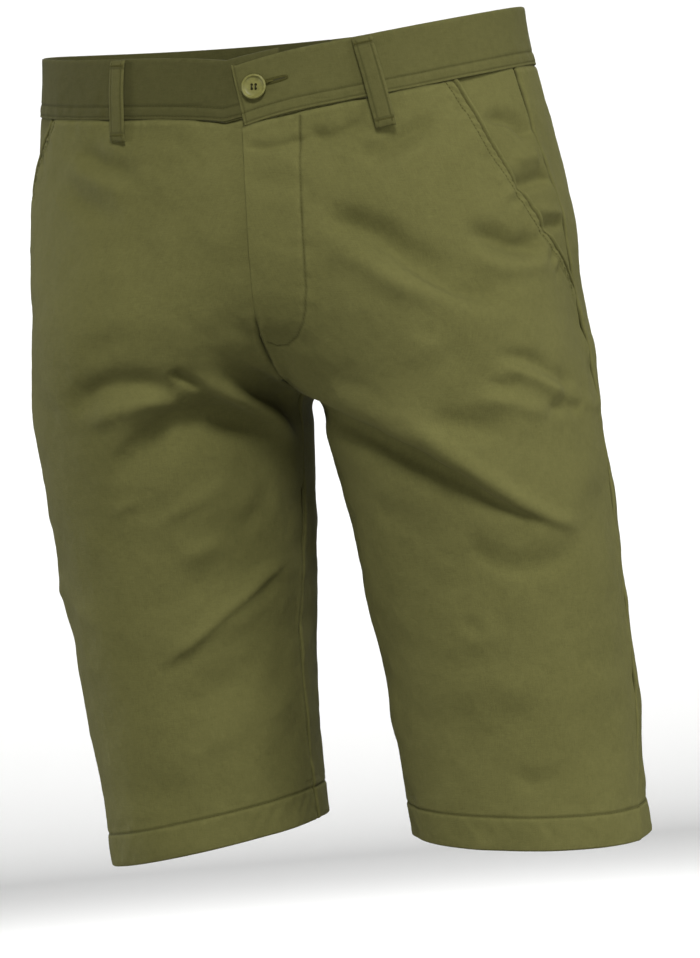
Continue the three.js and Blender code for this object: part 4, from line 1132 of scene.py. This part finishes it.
# %% Node helpers
class Nodes:
    """Short names for adding and linking nodes in one tree."""

    def __init__(self, tree):
        self.tree = tree

    def new(self, kind, **settings):
        node = self.tree.nodes.new(kind)
        for key, value in settings.items():
            setattr(node, key, value)
        return node

    def link(self, a, b):
        self.tree.links.new(a, b)

    def fill(self, node, values):
        """Sets or links a node's inputs by name or number."""
        for key, value in values.items():
            if isinstance(value, (bool, int, float, str, tuple)):
                node.inputs[key].default_value = value
            else:
                self.link(value, node.inputs[key])
        return node

    def add(self, kind, inputs=(), **settings):
        return self.fill(self.new(kind, **settings), dict(inputs))

    def math(self, kind, a, b=0.0, clamp=False):
        return self.add("ShaderNodeMath", {0: a, 1: b}, operation=kind, use_clamp=clamp).outputs[0]

    def mix(self, factor, a, b):
        return self.add("ShaderNodeMix", {0: factor, 6: a, 7: b}, data_type="RGBA").outputs[2]

    def noise(self, vector, scale, detail=2.0, rough=0.5):
        values = {"Vector": vector, "Scale": scale, "Detail": detail, "Roughness": rough}
        return self.add("ShaderNodeTexNoise", values).outputs["Fac"]

    def range(self, value, low, high, to_low=0.0, to_high=1.0):
        return self.add("ShaderNodeMapRange", dict(enumerate((value, low, high, to_low, to_high)))).outputs[0]

    def stretch(self, vector, scale):
        return self.add("ShaderNodeMapping", {"Vector": vector, "Scale": scale}).outputs[0]


def new_tree(name, kind, inputs, outputs):
    """A node group with named inputs, each with its kind and default, and named outputs."""
    tree = bpy.data.node_groups.new(name, kind)
    for key, socket in outputs.items():
        tree.interface.new_socket(name=key, in_out="OUTPUT", socket_type="NodeSocket" + socket)
    for key, (socket, default) in inputs.items():
        made = tree.interface.new_socket(name=key, in_out="INPUT", socket_type="NodeSocket" + socket)
        if default is not None:
            made.default_value = default
    nodes = Nodes(tree)
    return nodes, nodes.new("NodeGroupInput").outputs, nodes.new("NodeGroupOutput").inputs


# %% The sewing tree
SEWING_INPUTS = {
    "Path": ("Geometry", None), "Pitch": ("Float", 0.0026), "Stitch length": ("Float", 0.0021),
    "Thread radius": ("Float", 0.0003), "Stand": ("Float", 0.0003), "Turn": ("Float", 0.0),
    "Wander": ("Float", 0.06), "Seed": ("Int", 3), "Thread": ("Material", None),
}


def build_sewing():
    n, given, result = new_tree("sewn row", "GeometryNodeTree", SEWING_INPUTS, {"Geometry": "Geometry"})
    half = n.math("MULTIPLY", given["Stitch length"], 0.5)
    dip = n.math("MULTIPLY", given["Thread radius"], -1.6)
    crown = n.math("MULTIPLY", given["Stand"], 2.0)
    start = n.add("ShaderNodeCombineXYZ", {0: n.math("MULTIPLY", half, -1.0), 2: dip})
    middle = n.add("ShaderNodeCombineXYZ", {2: crown})
    end = n.add("ShaderNodeCombineXYZ", {0: half, 2: dip})
    arc = n.add("GeometryNodeCurveQuadraticBezier", {
        "Resolution": 4, "Start": start.outputs[0], "Middle": middle.outputs[0], "End": end.outputs[0]})
    round_thread = n.add("GeometryNodeCurvePrimitiveCircle", {
        "Resolution": 5, "Radius": given["Thread radius"]})
    thread = n.add("GeometryNodeCurveToMesh", {
        "Curve": arc.outputs[0], "Profile Curve": round_thread.outputs["Curve"], "Fill Caps": True})

    curve = n.add("GeometryNodeMeshToCurve", {0: given["Path"]})
    divide = n.new("GeometryNodeResampleCurve", mode="LENGTH")
    n.fill(divide, {"Curve": curve.outputs[0], "Length": given["Pitch"]})
    out = n.add("GeometryNodeInputNamedAttribute", {"Name": "out"}, data_type="FLOAT_VECTOR")
    axes = n.new("FunctionNodeAxesToRotation", primary_axis="Z", secondary_axis="X")
    n.fill(axes, {"Primary Axis": out.outputs["Attribute"],
                  "Secondary Axis": n.new("GeometryNodeInputTangent").outputs[0]})
    wander = n.new("FunctionNodeRandomValue", data_type="FLOAT")
    n.fill(wander, {"Seed": given["Seed"], 2: n.math("MULTIPLY", given["Wander"], -1.0), 3: given["Wander"]})
    spin = n.add("ShaderNodeCombineXYZ", {2: n.math("ADD", given["Turn"], wander.outputs[1])})
    to_rotation = n.add("FunctionNodeEulerToRotation", {0: spin.outputs[0]})
    turned_by = n.new("FunctionNodeRotateRotation", rotation_space="LOCAL")
    n.fill(turned_by, {"Rotation": axes.outputs[0], "Rotate By": to_rotation.outputs[0]})
    place = n.add("GeometryNodeInstanceOnPoints", {
        "Points": divide.outputs[0], "Instance": thread.outputs[0], "Rotation": turned_by.outputs[0]})
    real = n.add("GeometryNodeRealizeInstances", {0: place.outputs[0]})
    soft = n.add("GeometryNodeSetShadeSmooth", {0: real.outputs[0]})
    finish = n.add("GeometryNodeSetMaterial", {0: soft.outputs[0], "Material": given["Thread"]})
    n.link(finish.outputs[0], result[0])
    return n.tree


SEWING = build_sewing()


STITCH = ("pitch", "length", "radius", "stand", "turn", "wander")
SEWN = {
    "seam": (2.6, 2.15, 0.27, 0.24, 0.0, 0.06),
    "band": (2.3, 1.9, 0.24, 0.2, 0.0, 0.06),
    "loop": (2.2, 1.8, 0.22, 0.16, 0.0, 0.06),
    "panel tack": (0.5, 2.0, 0.24, 0.3, math.pi / 2, 0.2),
    "loop tack": (0.5, 1.7, 0.24, 0.3, math.pi / 2, 0.2),
    "buttonhole": (0.5, 1.9, 0.24, 0.32, math.pi / 2, 0.15),
}


def sew(name, paths, kind, seed):
    """Sews rows along paths. Each path is (points, outward directions), in millimetres."""
    stitch = dict(zip(STITCH, SEWN[kind]))
    points, outs, edges = [], [], []
    for line, normals in paths:
        start = len(points)
        points += (np.asarray(line) * MM).tolist()
        outs += np.asarray(normals).tolist()
        edges += [(start + k, start + k + 1) for k in range(len(line) - 1)]
    obj = new_object(name, points, (), edges)
    obj.data.attributes.new("out", "FLOAT_VECTOR", "POINT").data.foreach_set("vector", line_up(outs))
    modifier = obj.modifiers.new("sewing", "NODES")
    modifier.node_group = SEWING
    values = {"Pitch": stitch["pitch"] * MM, "Stitch length": stitch["length"] * MM,
              "Thread radius": stitch["radius"] * MM, "Stand": stitch["stand"] * MM,
              "Turn": stitch["turn"], "Wander": stitch["wander"], "Seed": seed, "Thread": THREAD}
    for item in SEWING.interface.items_tree:
        if item.in_out == "INPUT" and item.name in values:
            modifier[item.identifier] = values[item.name]
    keep(obj)
    print(name, len(obj.data.polygons), "faces")
    return obj

# %% [markdown]
# ## Twill, thread and plastic
# Twill is woven in steep diagonal lines. At arm's length they melt into a matt surface with a faint
# bloom, so the material needs three scales: the diagonal itself, slubs a few millimetres long, and
# broad patches where garment washing has faded the dye. Seams and crests rub pale first; on top of that
# wear the material paints highlight on raised cloth and crests, and shade in grooves, troughs and the
# hollows of the weave, and the waistband takes shaded copies of the twill. Each effect is
# a node group with named inputs, so that every piece can use it with its own values.

# %% The weave and fade groups
TWO_PI = 6.2832


def weave_group():
    """Height and tone of a twill: diagonal wales, crossed by the finer yarn."""
    sizes = {"Grain": ("Vector", None), "Wale": ("Float", 0.00062), "Yarn": ("Float", 0.00036)}
    n, given, result = new_tree("twill weave", "ShaderNodeTree", sizes, {"Height": "Float", "Slub": "Float"})
    grain = given["Grain"]
    apart = n.add("ShaderNodeSeparateXYZ", {0: grain}).outputs
    slant = n.math("ADD", n.math("MULTIPLY", apart[0], 0.86), n.math("MULTIPLY", apart[1], 0.5))
    wobble = n.math("MULTIPLY", n.noise(grain, 420.0), 0.0007)
    turns = n.math("DIVIDE", n.math("ADD", slant, wobble), n.math("DIVIDE", given["Wale"], TWO_PI))
    wale = n.math("SINE", turns)
    yarn = n.math("SINE", n.math("DIVIDE", apart[1], n.math("DIVIDE", given["Yarn"], TWO_PI)))
    woven = n.math("ADD", n.math("MULTIPLY", wale, 0.36), n.math("MULTIPLY", yarn, 0.14))
    n.link(n.math("ADD", woven, 0.5), result["Height"])
    across = n.noise(n.stretch(grain, (160.0, 1500.0, 1.0)), 1.0, 3.0, 0.6)
    down = n.noise(n.stretch(grain, (1500.0, 110.0, 1.0)), 1.0, 3.0, 0.6)
    n.link(n.math("MULTIPLY", n.math("ADD", across, down), 0.5), result["Slub"])
    return n.tree


def fade_and_light_group():
    """Where washing and rubbing have paled the dye in broad patches and at seams, with painted highlight on
    raised cloth and crests and painted shade in troughs.
    """
    sizes = {"Place": ("Vector", None), "Seam": ("Float", 0.0), "Crest": ("Float", 0.0),
             "Patch size": ("Float", 14.0)}
    n, given, result = new_tree("garment fade and painted light", "ShaderNodeTree", sizes, {"Pale": "Float", "Dark": "Float"})
    place = given["Place"]
    patch = n.noise(place, given["Patch size"], 3.0, 0.55)
    fine = n.noise(place, 240.0, 4.0, 0.62)
    speck = n.noise(place, 900.0, 2.0, 0.6)
    rubbed_and_painted_highlight = n.math("MULTIPLY", given["Seam"], n.range(fine, 0.3, 0.75))
    # The crest adds painted highlight on fold crests and painted shade in troughs.
    worn_and_painted_light = n.math("ADD", rubbed_and_painted_highlight, n.math("MULTIPLY", given["Crest"], 0.25))
    mottled = n.math("ADD", n.range(patch, 0.3, 0.7, -0.12, 0.14), n.range(fine, 0.25, 0.75, -0.16, 0.16))
    mottled = n.math("ADD", mottled, n.range(speck, 0.25, 0.75, -0.10, 0.10))
    pale = n.math("ADD", n.math("MULTIPLY", worn_and_painted_light, 0.6), n.math("ADD", mottled, 0.25), True)
    n.link(pale, result["Pale"])
    n.link(n.range(n.noise(place, 30.0, 4.0, 0.6), 0.45, 0.75), result["Dark"])
    return n.tree


WEAVE, FADE_AND_PAINTED_LIGHT = weave_group(), fade_and_light_group()


# %% The twill, thread and plastic materials
def fresh(name):
    """A new material, its nodes, its shader and the place of each point on the object."""
    material = bpy.data.materials.new(name)
    material.use_nodes = True
    n = Nodes(material.node_tree)
    place = n.new("ShaderNodeTexCoord").outputs["Object"]
    return material, n, material.node_tree.nodes["Principled BSDF"], place


def raise_by(n, shader, height, strength, distance):
    relief = n.add("ShaderNodeBump", {"Strength": strength, "Distance": distance, "Height": height})
    n.link(relief.outputs[0], shader.inputs["Normal"])


def twill(name, tones, seam_strength=0.55):
    """Cotton twill in three tones of one dye, with painted shade in grooves and weave hollows and painted
    highlight on raised cloth.
    """
    deep, body, pale = tones
    material, n, shader, place = fresh(name)
    uv = n.new("ShaderNodeUVMap", uv_map="grain").outputs[0]
    pale_wear_and_highlight, painted_groove_shade, crest = (n.new("ShaderNodeAttribute", attribute_name=key).outputs["Fac"]
                                   for key in ("pale", "dark", "crest"))
    woven = n.add("ShaderNodeGroup", {"Grain": uv}, node_tree=WEAVE).outputs
    seam = n.math("MULTIPLY", pale_wear_and_highlight, seam_strength)
    faded = n.add("ShaderNodeGroup", {"Place": place, "Seam": seam, "Crest": crest}, node_tree=FADE_AND_PAINTED_LIGHT).outputs
    shade = tuple(0.5 * v for v in deep[:3]) + (1,)
    colour = n.mix(n.range(woven["Slub"], 0.3, 0.7), deep, body)
    colour = n.mix(n.math("MULTIPLY", faded["Dark"], 0.3), colour, deep)
    colour = n.mix(n.math("MULTIPLY", faded["Pale"], 0.75), colour, pale)
    # Painted shade in the hollows between the weave's wales.
    colour = n.mix(n.range(woven["Height"], 0.0, 1.0, 0.12, 0.0), colour, shade)
    # Painted shade in grooves, seams and hollows, from the dark attribute.
    colour = n.mix(n.range(painted_groove_shade, 0.15, 1.0, 0.0, 0.6), colour, shade)
    n.fill(shader, {"Base Color": colour, "Roughness": n.range(woven["Slub"], 0.2, 0.8, 0.82, 0.95),
                    "Sheen Weight": 0.05, "Sheen Roughness": 0.5, "Sheen Tint": (0.8, 0.78, 0.4, 1),
                    "Specular IOR Level": 0.12})
    height = n.math("ADD", n.math("MULTIPLY", woven["Height"], 0.00016),
                    n.math("MULTIPLY", woven["Slub"], 0.0004))
    height = n.math("ADD", height, n.math("MULTIPLY", n.noise(place, 170.0, 3.0, 0.6), 0.0007))
    raise_by(n, shader, height, 0.6, 1.0)
    return material


def darkened_tones(share):
    """The three tones taken down by a share: a darker copy of the twill, which on the waistband is painted
    shade.
    """
    return [tuple(share * v for v in tone[:3]) + (1,) for tone in TONES]


TONES = (0.092, 0.088, 0.027, 1), (0.124, 0.119, 0.037, 1), (0.182, 0.173, 0.060, 1)
TWILL = twill("olive cotton twill", TONES)
# The waistband halves are shaded copies of the twill: painted shade, deepest on the right half.
BAND_TWILL_IN_PAINTED_SHADE = {LEFT: twill("olive twill on the left waistband in painted shade", darkened_tones(0.78), 0.7),
              RIGHT: twill("olive twill on the right waistband in deeper painted shade", darkened_tones(0.55), 0.7)}
FACING_TWILL = twill("olive twill behind the pocket mouth", TONES, 0.4)
LOOP_TWILL = twill("olive twill of the belt loops", darkened_tones(0.75), 0.8)


def thread_material(name, dark, light):
    """Twisted cotton thread: fine turns along it, a little sheen."""
    material, n, shader, place = fresh(name)
    ply = n.noise(n.stretch(place, (2400.0, 2400.0, 3600.0)), 1.0, 2.0, 0.6)
    n.fill(shader, {"Base Color": n.mix(n.range(ply, 0.3, 0.7), dark, light),
                    "Roughness": n.range(ply, 0.3, 0.7, 0.65, 0.9), "Specular IOR Level": 0.1})
    raise_by(n, shader, ply, 0.2, 0.0002)
    return material


def plastic_material(name, dark, light):
    """Button plastic: cloudy below the surface, finely scratched by washing."""
    material, n, shader, place = fresh(name)
    cloud = n.noise(place, 320.0, 3.0, 0.6)
    scratch = n.noise(n.stretch(place, (900.0, 300.0, 5200.0)), 1.0, 3.0, 0.65)
    n.fill(shader, {"Base Color": n.mix(n.range(cloud, 0.3, 0.7), dark, light),
                    "Roughness": n.range(scratch, 0.3, 0.7, 0.34, 0.5), "Specular IOR Level": 0.3})
    raise_by(n, shader, scratch, 0.25, 0.00012)
    return material


THREAD = thread_material("olive sewing thread", (0.046, 0.043, 0.011, 1), (0.088, 0.083, 0.022, 1))
# The dark thread colour serves the button's thread and also paints the shadow inside the buttonhole slot.
DARK_THREAD_AND_SLOT_SHADOW = thread_material("dark button thread and painted slot shadow", (0.02, 0.019, 0.008, 1), (0.05, 0.048, 0.02, 1))
PLASTIC = plastic_material("olive button plastic", (0.135, 0.130, 0.034, 1), (0.205, 0.197, 0.056, 1))
print("materials", len(bpy.data.materials))

# %% [markdown]
# ## Sewing it together
# Now the rows are drawn on the finished cloth. A row beside an edge is found on the panel's own grid, at
# a fixed distance from that edge, so it runs over every crease as a real row does. Each panel carries
# its own stitches as one piece.

# %% Paths on the cloth
def beside(made, distance, edge):
    """A path at a distance from a piece's edge: 'right' and 'left' are columns, 'low' is a row."""
    grid, normals, base = made["outer"], made["n"], made["p"]
    if edge == "low":
        grid, normals, base = (np.swapaxes(v, 0, 1) for v in (grid, normals, base))
    if edge in ("right", "low"):
        grid, normals, base = (v[:, ::-1] for v in (grid, normals, base))
    steps = np.linalg.norm(np.diff(base, axis=1), axis=2)
    run = np.concatenate((np.zeros((len(base), 1)), np.cumsum(steps, axis=1)), axis=1)
    return [np.array([[np.interp(distance, run[k], v[k, :, c]) for c in range(3)] for k in range(len(run))])
            for v in (grid, normals)]


def part_of(path, chosen):
    """The stretch of a path whose points pass a test."""
    return path[0][chosen], path[1][chosen]


STITCHES = {}
for (side, face), made in PANELS.items():
    rows, tacks = [beside(made, HEM_ROW, "low")], []
    if face == FRONT:
        for distance in MOUTH_ROWS:
            row = beside(made, distance, "right")
            rows.append(part_of(row, row[0][:, 2] > MOUTH_END - 6))
        z = rows[1][0][:, 2]
        tacks = [part_of(rows[1], (z < -60) & (z > -67)), part_of(rows[1], z < MOUTH_END + 4)]
    if (side, face) == (LEFT, FRONT):
        x, z = np.array(FLY_STITCH, float).T
        t = np.linspace(0, len(x) - 1, 90)
        p = on_centre(FRONT, np.interp(t, range(len(x)), x), np.interp(t, range(len(x)), z))
        lift = panel_relief(side, face, p, made["lines"], made["seed"])[0] + lap_lift(side, face, p)
        n = normal(p)
        rows.append((p + n * lift[:, None], n))
        lowest = rows[-1][0]
        tacks.append(part_of(rows[-1], (lowest[:, 2] < -200) & (lowest[:, 0] < 12)))
    STITCHES[made["name"]] = [sew("stitches_" + made["name"], rows, "seam", side + 5)]
    if tacks:
        STITCHES[made["name"]].append(sew("tacks_" + made["name"], tacks, "panel tack", 9))

# %% Rows on the waistband and loops
for side, made in BANDS.items():
    rows = [beside(made, distance, "low") for distance in BAND_ROWS]
    if side == LEFT:
        rows.append(beside(made, END_ROW, "left"))
    STITCHES[made["name"]] = [sew("stitches_" + made["name"], rows, "band", side + 2)]

for name, made in LOOP_SHELLS.items():
    high, wide = made["outer"].shape[:2]
    columns = [int(round(share * (wide - 1))) for share in (0.22, 0.78)]
    rows = [(made["outer"][2:-2, c], made["n"][2:-2, c]) for c in columns]
    bars = [(made["outer"][r, 2:-2], made["n"][r, 2:-2]) for r in (int(high * 0.12), int(high * 0.88))]
    STITCHES[made["name"]] = [sew("stitches_loop_" + name, rows, "loop", 4),
                              sew("tacks_loop_" + name, bars, "loop tack", 5)]

# %% [markdown]
# ## The buttonhole and the thread in the button
# The buttonhole is a slot edged with close stitches. Its cut is a thin dark sheet that paints the
# shadow inside it. It starts under the button and shows on the side away from the band's end, where the
# pull of the waist has drawn it. Two bars of dark thread cross the button's dish from hole to hole.

# %% Buttonhole
def on_band(x, below):
    """Points on the face of the over end: x across, below the band's top edge."""
    x, below = np.broadcast_arrays(np.asarray(x, float), np.asarray(below, float))
    top = on_centre(FRONT, x, -20.0)
    p = on_centre(FRONT, x, waist_top(LEFT, x, top[..., 1]) - below)
    n = normal(p)
    return p + n * (BAND_PROUD + lap_share(p[..., 0]) * BAND_LAP + 0.1)[..., None], n


def slot_across(turns, long, limit):
    """Places along a slot with square-cut ends."""
    return HOLE_CENTRE[0] + np.clip(long * np.cos(turns) * 1.3, -limit, limit)


HOLE_CENTRE = (27.0, 17.0)
turns = np.linspace(0, 2 * math.pi, 61)
stitched = on_band(slot_across(turns, 10.5, 9.5) + 0.8 * np.cos(turns), HOLE_CENTRE[1] + 1.15 * np.sin(turns))
buttonhole = sew("buttonhole_edge", [stitched], "buttonhole", 8)
turns = turns[:-1]
# The slot is a thin closed sheet in the dark thread colour: a painted shadow in the cut.
slot_points, slot_normals = on_band(slot_across(turns, 10, 9.2), HOLE_CENTRE[1] + 0.75 * np.sin(turns))
count = len(turns)
slot_faces = [(k, (k + 1) % count, count + (k + 1) % count, count + k) for k in range(count)]
slot_faces += [tuple(range(count, 2 * count)), tuple(range(count - 1, -1, -1))]
slot_walls = np.concatenate((slot_points - slot_normals * 0.2, slot_points + slot_normals * 0.12))
slot = new_object("buttonhole_slot_painted_shadow", slot_walls * MM, slot_faces)

# %% Threads
def strand(name, lines, radius):
    """Round threads through points, closed at their ends. Millimetres."""
    data = bpy.data.curves.new(name, "CURVE")
    data.dimensions = "3D"
    data.bevel_depth = radius * MM
    data.bevel_resolution = 2
    data.use_fill_caps = True
    data.resolution_u = 4
    for points in lines:
        spline = data.splines.new("BEZIER")
        spline.bezier_points.add(len(points) - 1)
        for knot, p in zip(spline.bezier_points, points):
            knot.co = Vector(p) * MM
            knot.handle_left_type = knot.handle_right_type = "AUTO"
    drawn = bpy.data.objects.new(name, data)
    bpy.context.scene.collection.objects.link(drawn)
    mesh = bpy.data.meshes.new_from_object(drawn.evaluated_get(bpy.context.evaluated_depsgraph_get()))
    bpy.data.objects.remove(drawn)
    mesh.shade_smooth()
    solid = bpy.data.objects.new(name, mesh)
    bpy.context.scene.collection.objects.link(solid)
    return solid


h = HOLE_SPACING / 2
bars = []
for i in (-h, h):
    for k in range(4):
        off = (k - 1.5) * 0.26
        bars.append([(i + off, -h, 0.7), (i + off, -h * 0.7, 1.6 + 0.1 * k), (i + off * 0.8, h * 0.7, 1.65),
                     (i + off, h, 0.7)])
button_thread = strand("button_thread", bars, 0.2)
button_thread.data.transform(BUTTON_PLACE @ BUTTON_TURN)

SHANK = ("from the button", "below", "apart", "stand", "wave")
SHANK_KNOTS = [(6.5, 17.2, 0.30, 1.0, 0), (9.5, 17.1, 0.22, 0.9, 0.12), (12.6, 17.0, 0.10, 0.1, 0)]
shank_lines = []
for k in range(6):
    line = []
    for row in SHANK_KNOTS:
        knot = dict(zip(SHANK, row))
        p, n = on_band(BUTTON_X + knot["from the button"], knot["below"] + knot["apart"] * (k - 2.5))
        line.append(p + n * (knot["stand"] + knot["wave"] * (k % 2)))
    shank_lines.append(line)
shank = strand("button_shank", shank_lines, 0.26)

# %% [markdown]
# ## What stands for what
# Each shell replaces the solid that it was laid on, and everything rides on the one body. The size
# that every piece of cloth was cut to is printed, worked out from the form: the arc across it and the
# height down it, with its seam allowances left out.

# %% Materials, bodies and replaced nodes
def dress(obj, material, slot_name, *nodes):
    obj.data.materials.clear()
    obj.data.materials.append(material)
    if nodes:
        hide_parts(*nodes)
    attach(obj, "root")


CLOTHS = [(made, TWILL) for made in PANELS.values()] + [(made, FACING_TWILL) for made in FACINGS.values()]
CLOTHS += [(made, BAND_TWILL_IN_PAINTED_SHADE[side]) for side, made in BANDS.items()]
CLOTHS += [(made, LOOP_TWILL) for made in LOOP_SHELLS.values()]
for made, material in CLOTHS:
    dress(made["object"], material, "twill", made["name"])
dress(button, PLASTIC, "button_plastic", "waist_button")
for obj in [obj for rows in STITCHES.values() for obj in rows] + [buttonhole, shank]:
    dress(obj, THREAD, "twill")
# The slot's dark sheet is painted shadow; the button thread is dark thread.
for obj in (slot, button_thread):
    dress(obj, DARK_THREAD_AND_SLOT_SHADOW, "twill")

# %% Sheets of cloth
def area_of(p):
    """Area of a grid of points in square metres."""
    a = np.cross(p[1:, :-1] - p[:-1, :-1], p[:-1, 1:] - p[:-1, :-1])
    b = np.cross(p[1:, :-1] - p[1:, 1:], p[:-1, 1:] - p[1:, 1:])
    return float((np.linalg.norm(a, axis=2) + np.linalg.norm(b, axis=2)).sum() / 2) * MM * MM


def spread(p):
    """The widest row and the longest column of a grid, in metres."""
    wide = np.linalg.norm(np.diff(p, axis=1), axis=2).sum(1).max()
    long = np.linalg.norm(np.diff(p, axis=0), axis=2).sum(0).max()
    return wide * MM, long * MM


def declare(made, side, *rests):
    """Prints what one sheet was cut to and its area; the names of what it hangs from are made but not used.
    """
    if "length" in made:
        size = (LOOP_WIDTH * MM, made["length"] * MM)
        area = size[0] * size[1]
    else:
        size, area = spread(made["p"]), area_of(made["p"])
    print(made["name"], "cut", [round(v, 3) for v in size], "m, area", round(area, 4), "m2")
    rests = [f"{rest}_{SIDE_NAME[side]}" for rest in rests]


for (side, _), made in PANELS.items():
    declare(made, side, "waistband")
for side, made in FACINGS.items():
    declare(made, side, "back", "waistband")
for side, made in BANDS.items():
    declare(made, side, "front", "back")
for made in LOOP_SHELLS.values():
    declare(made, made["side"], "waistband")
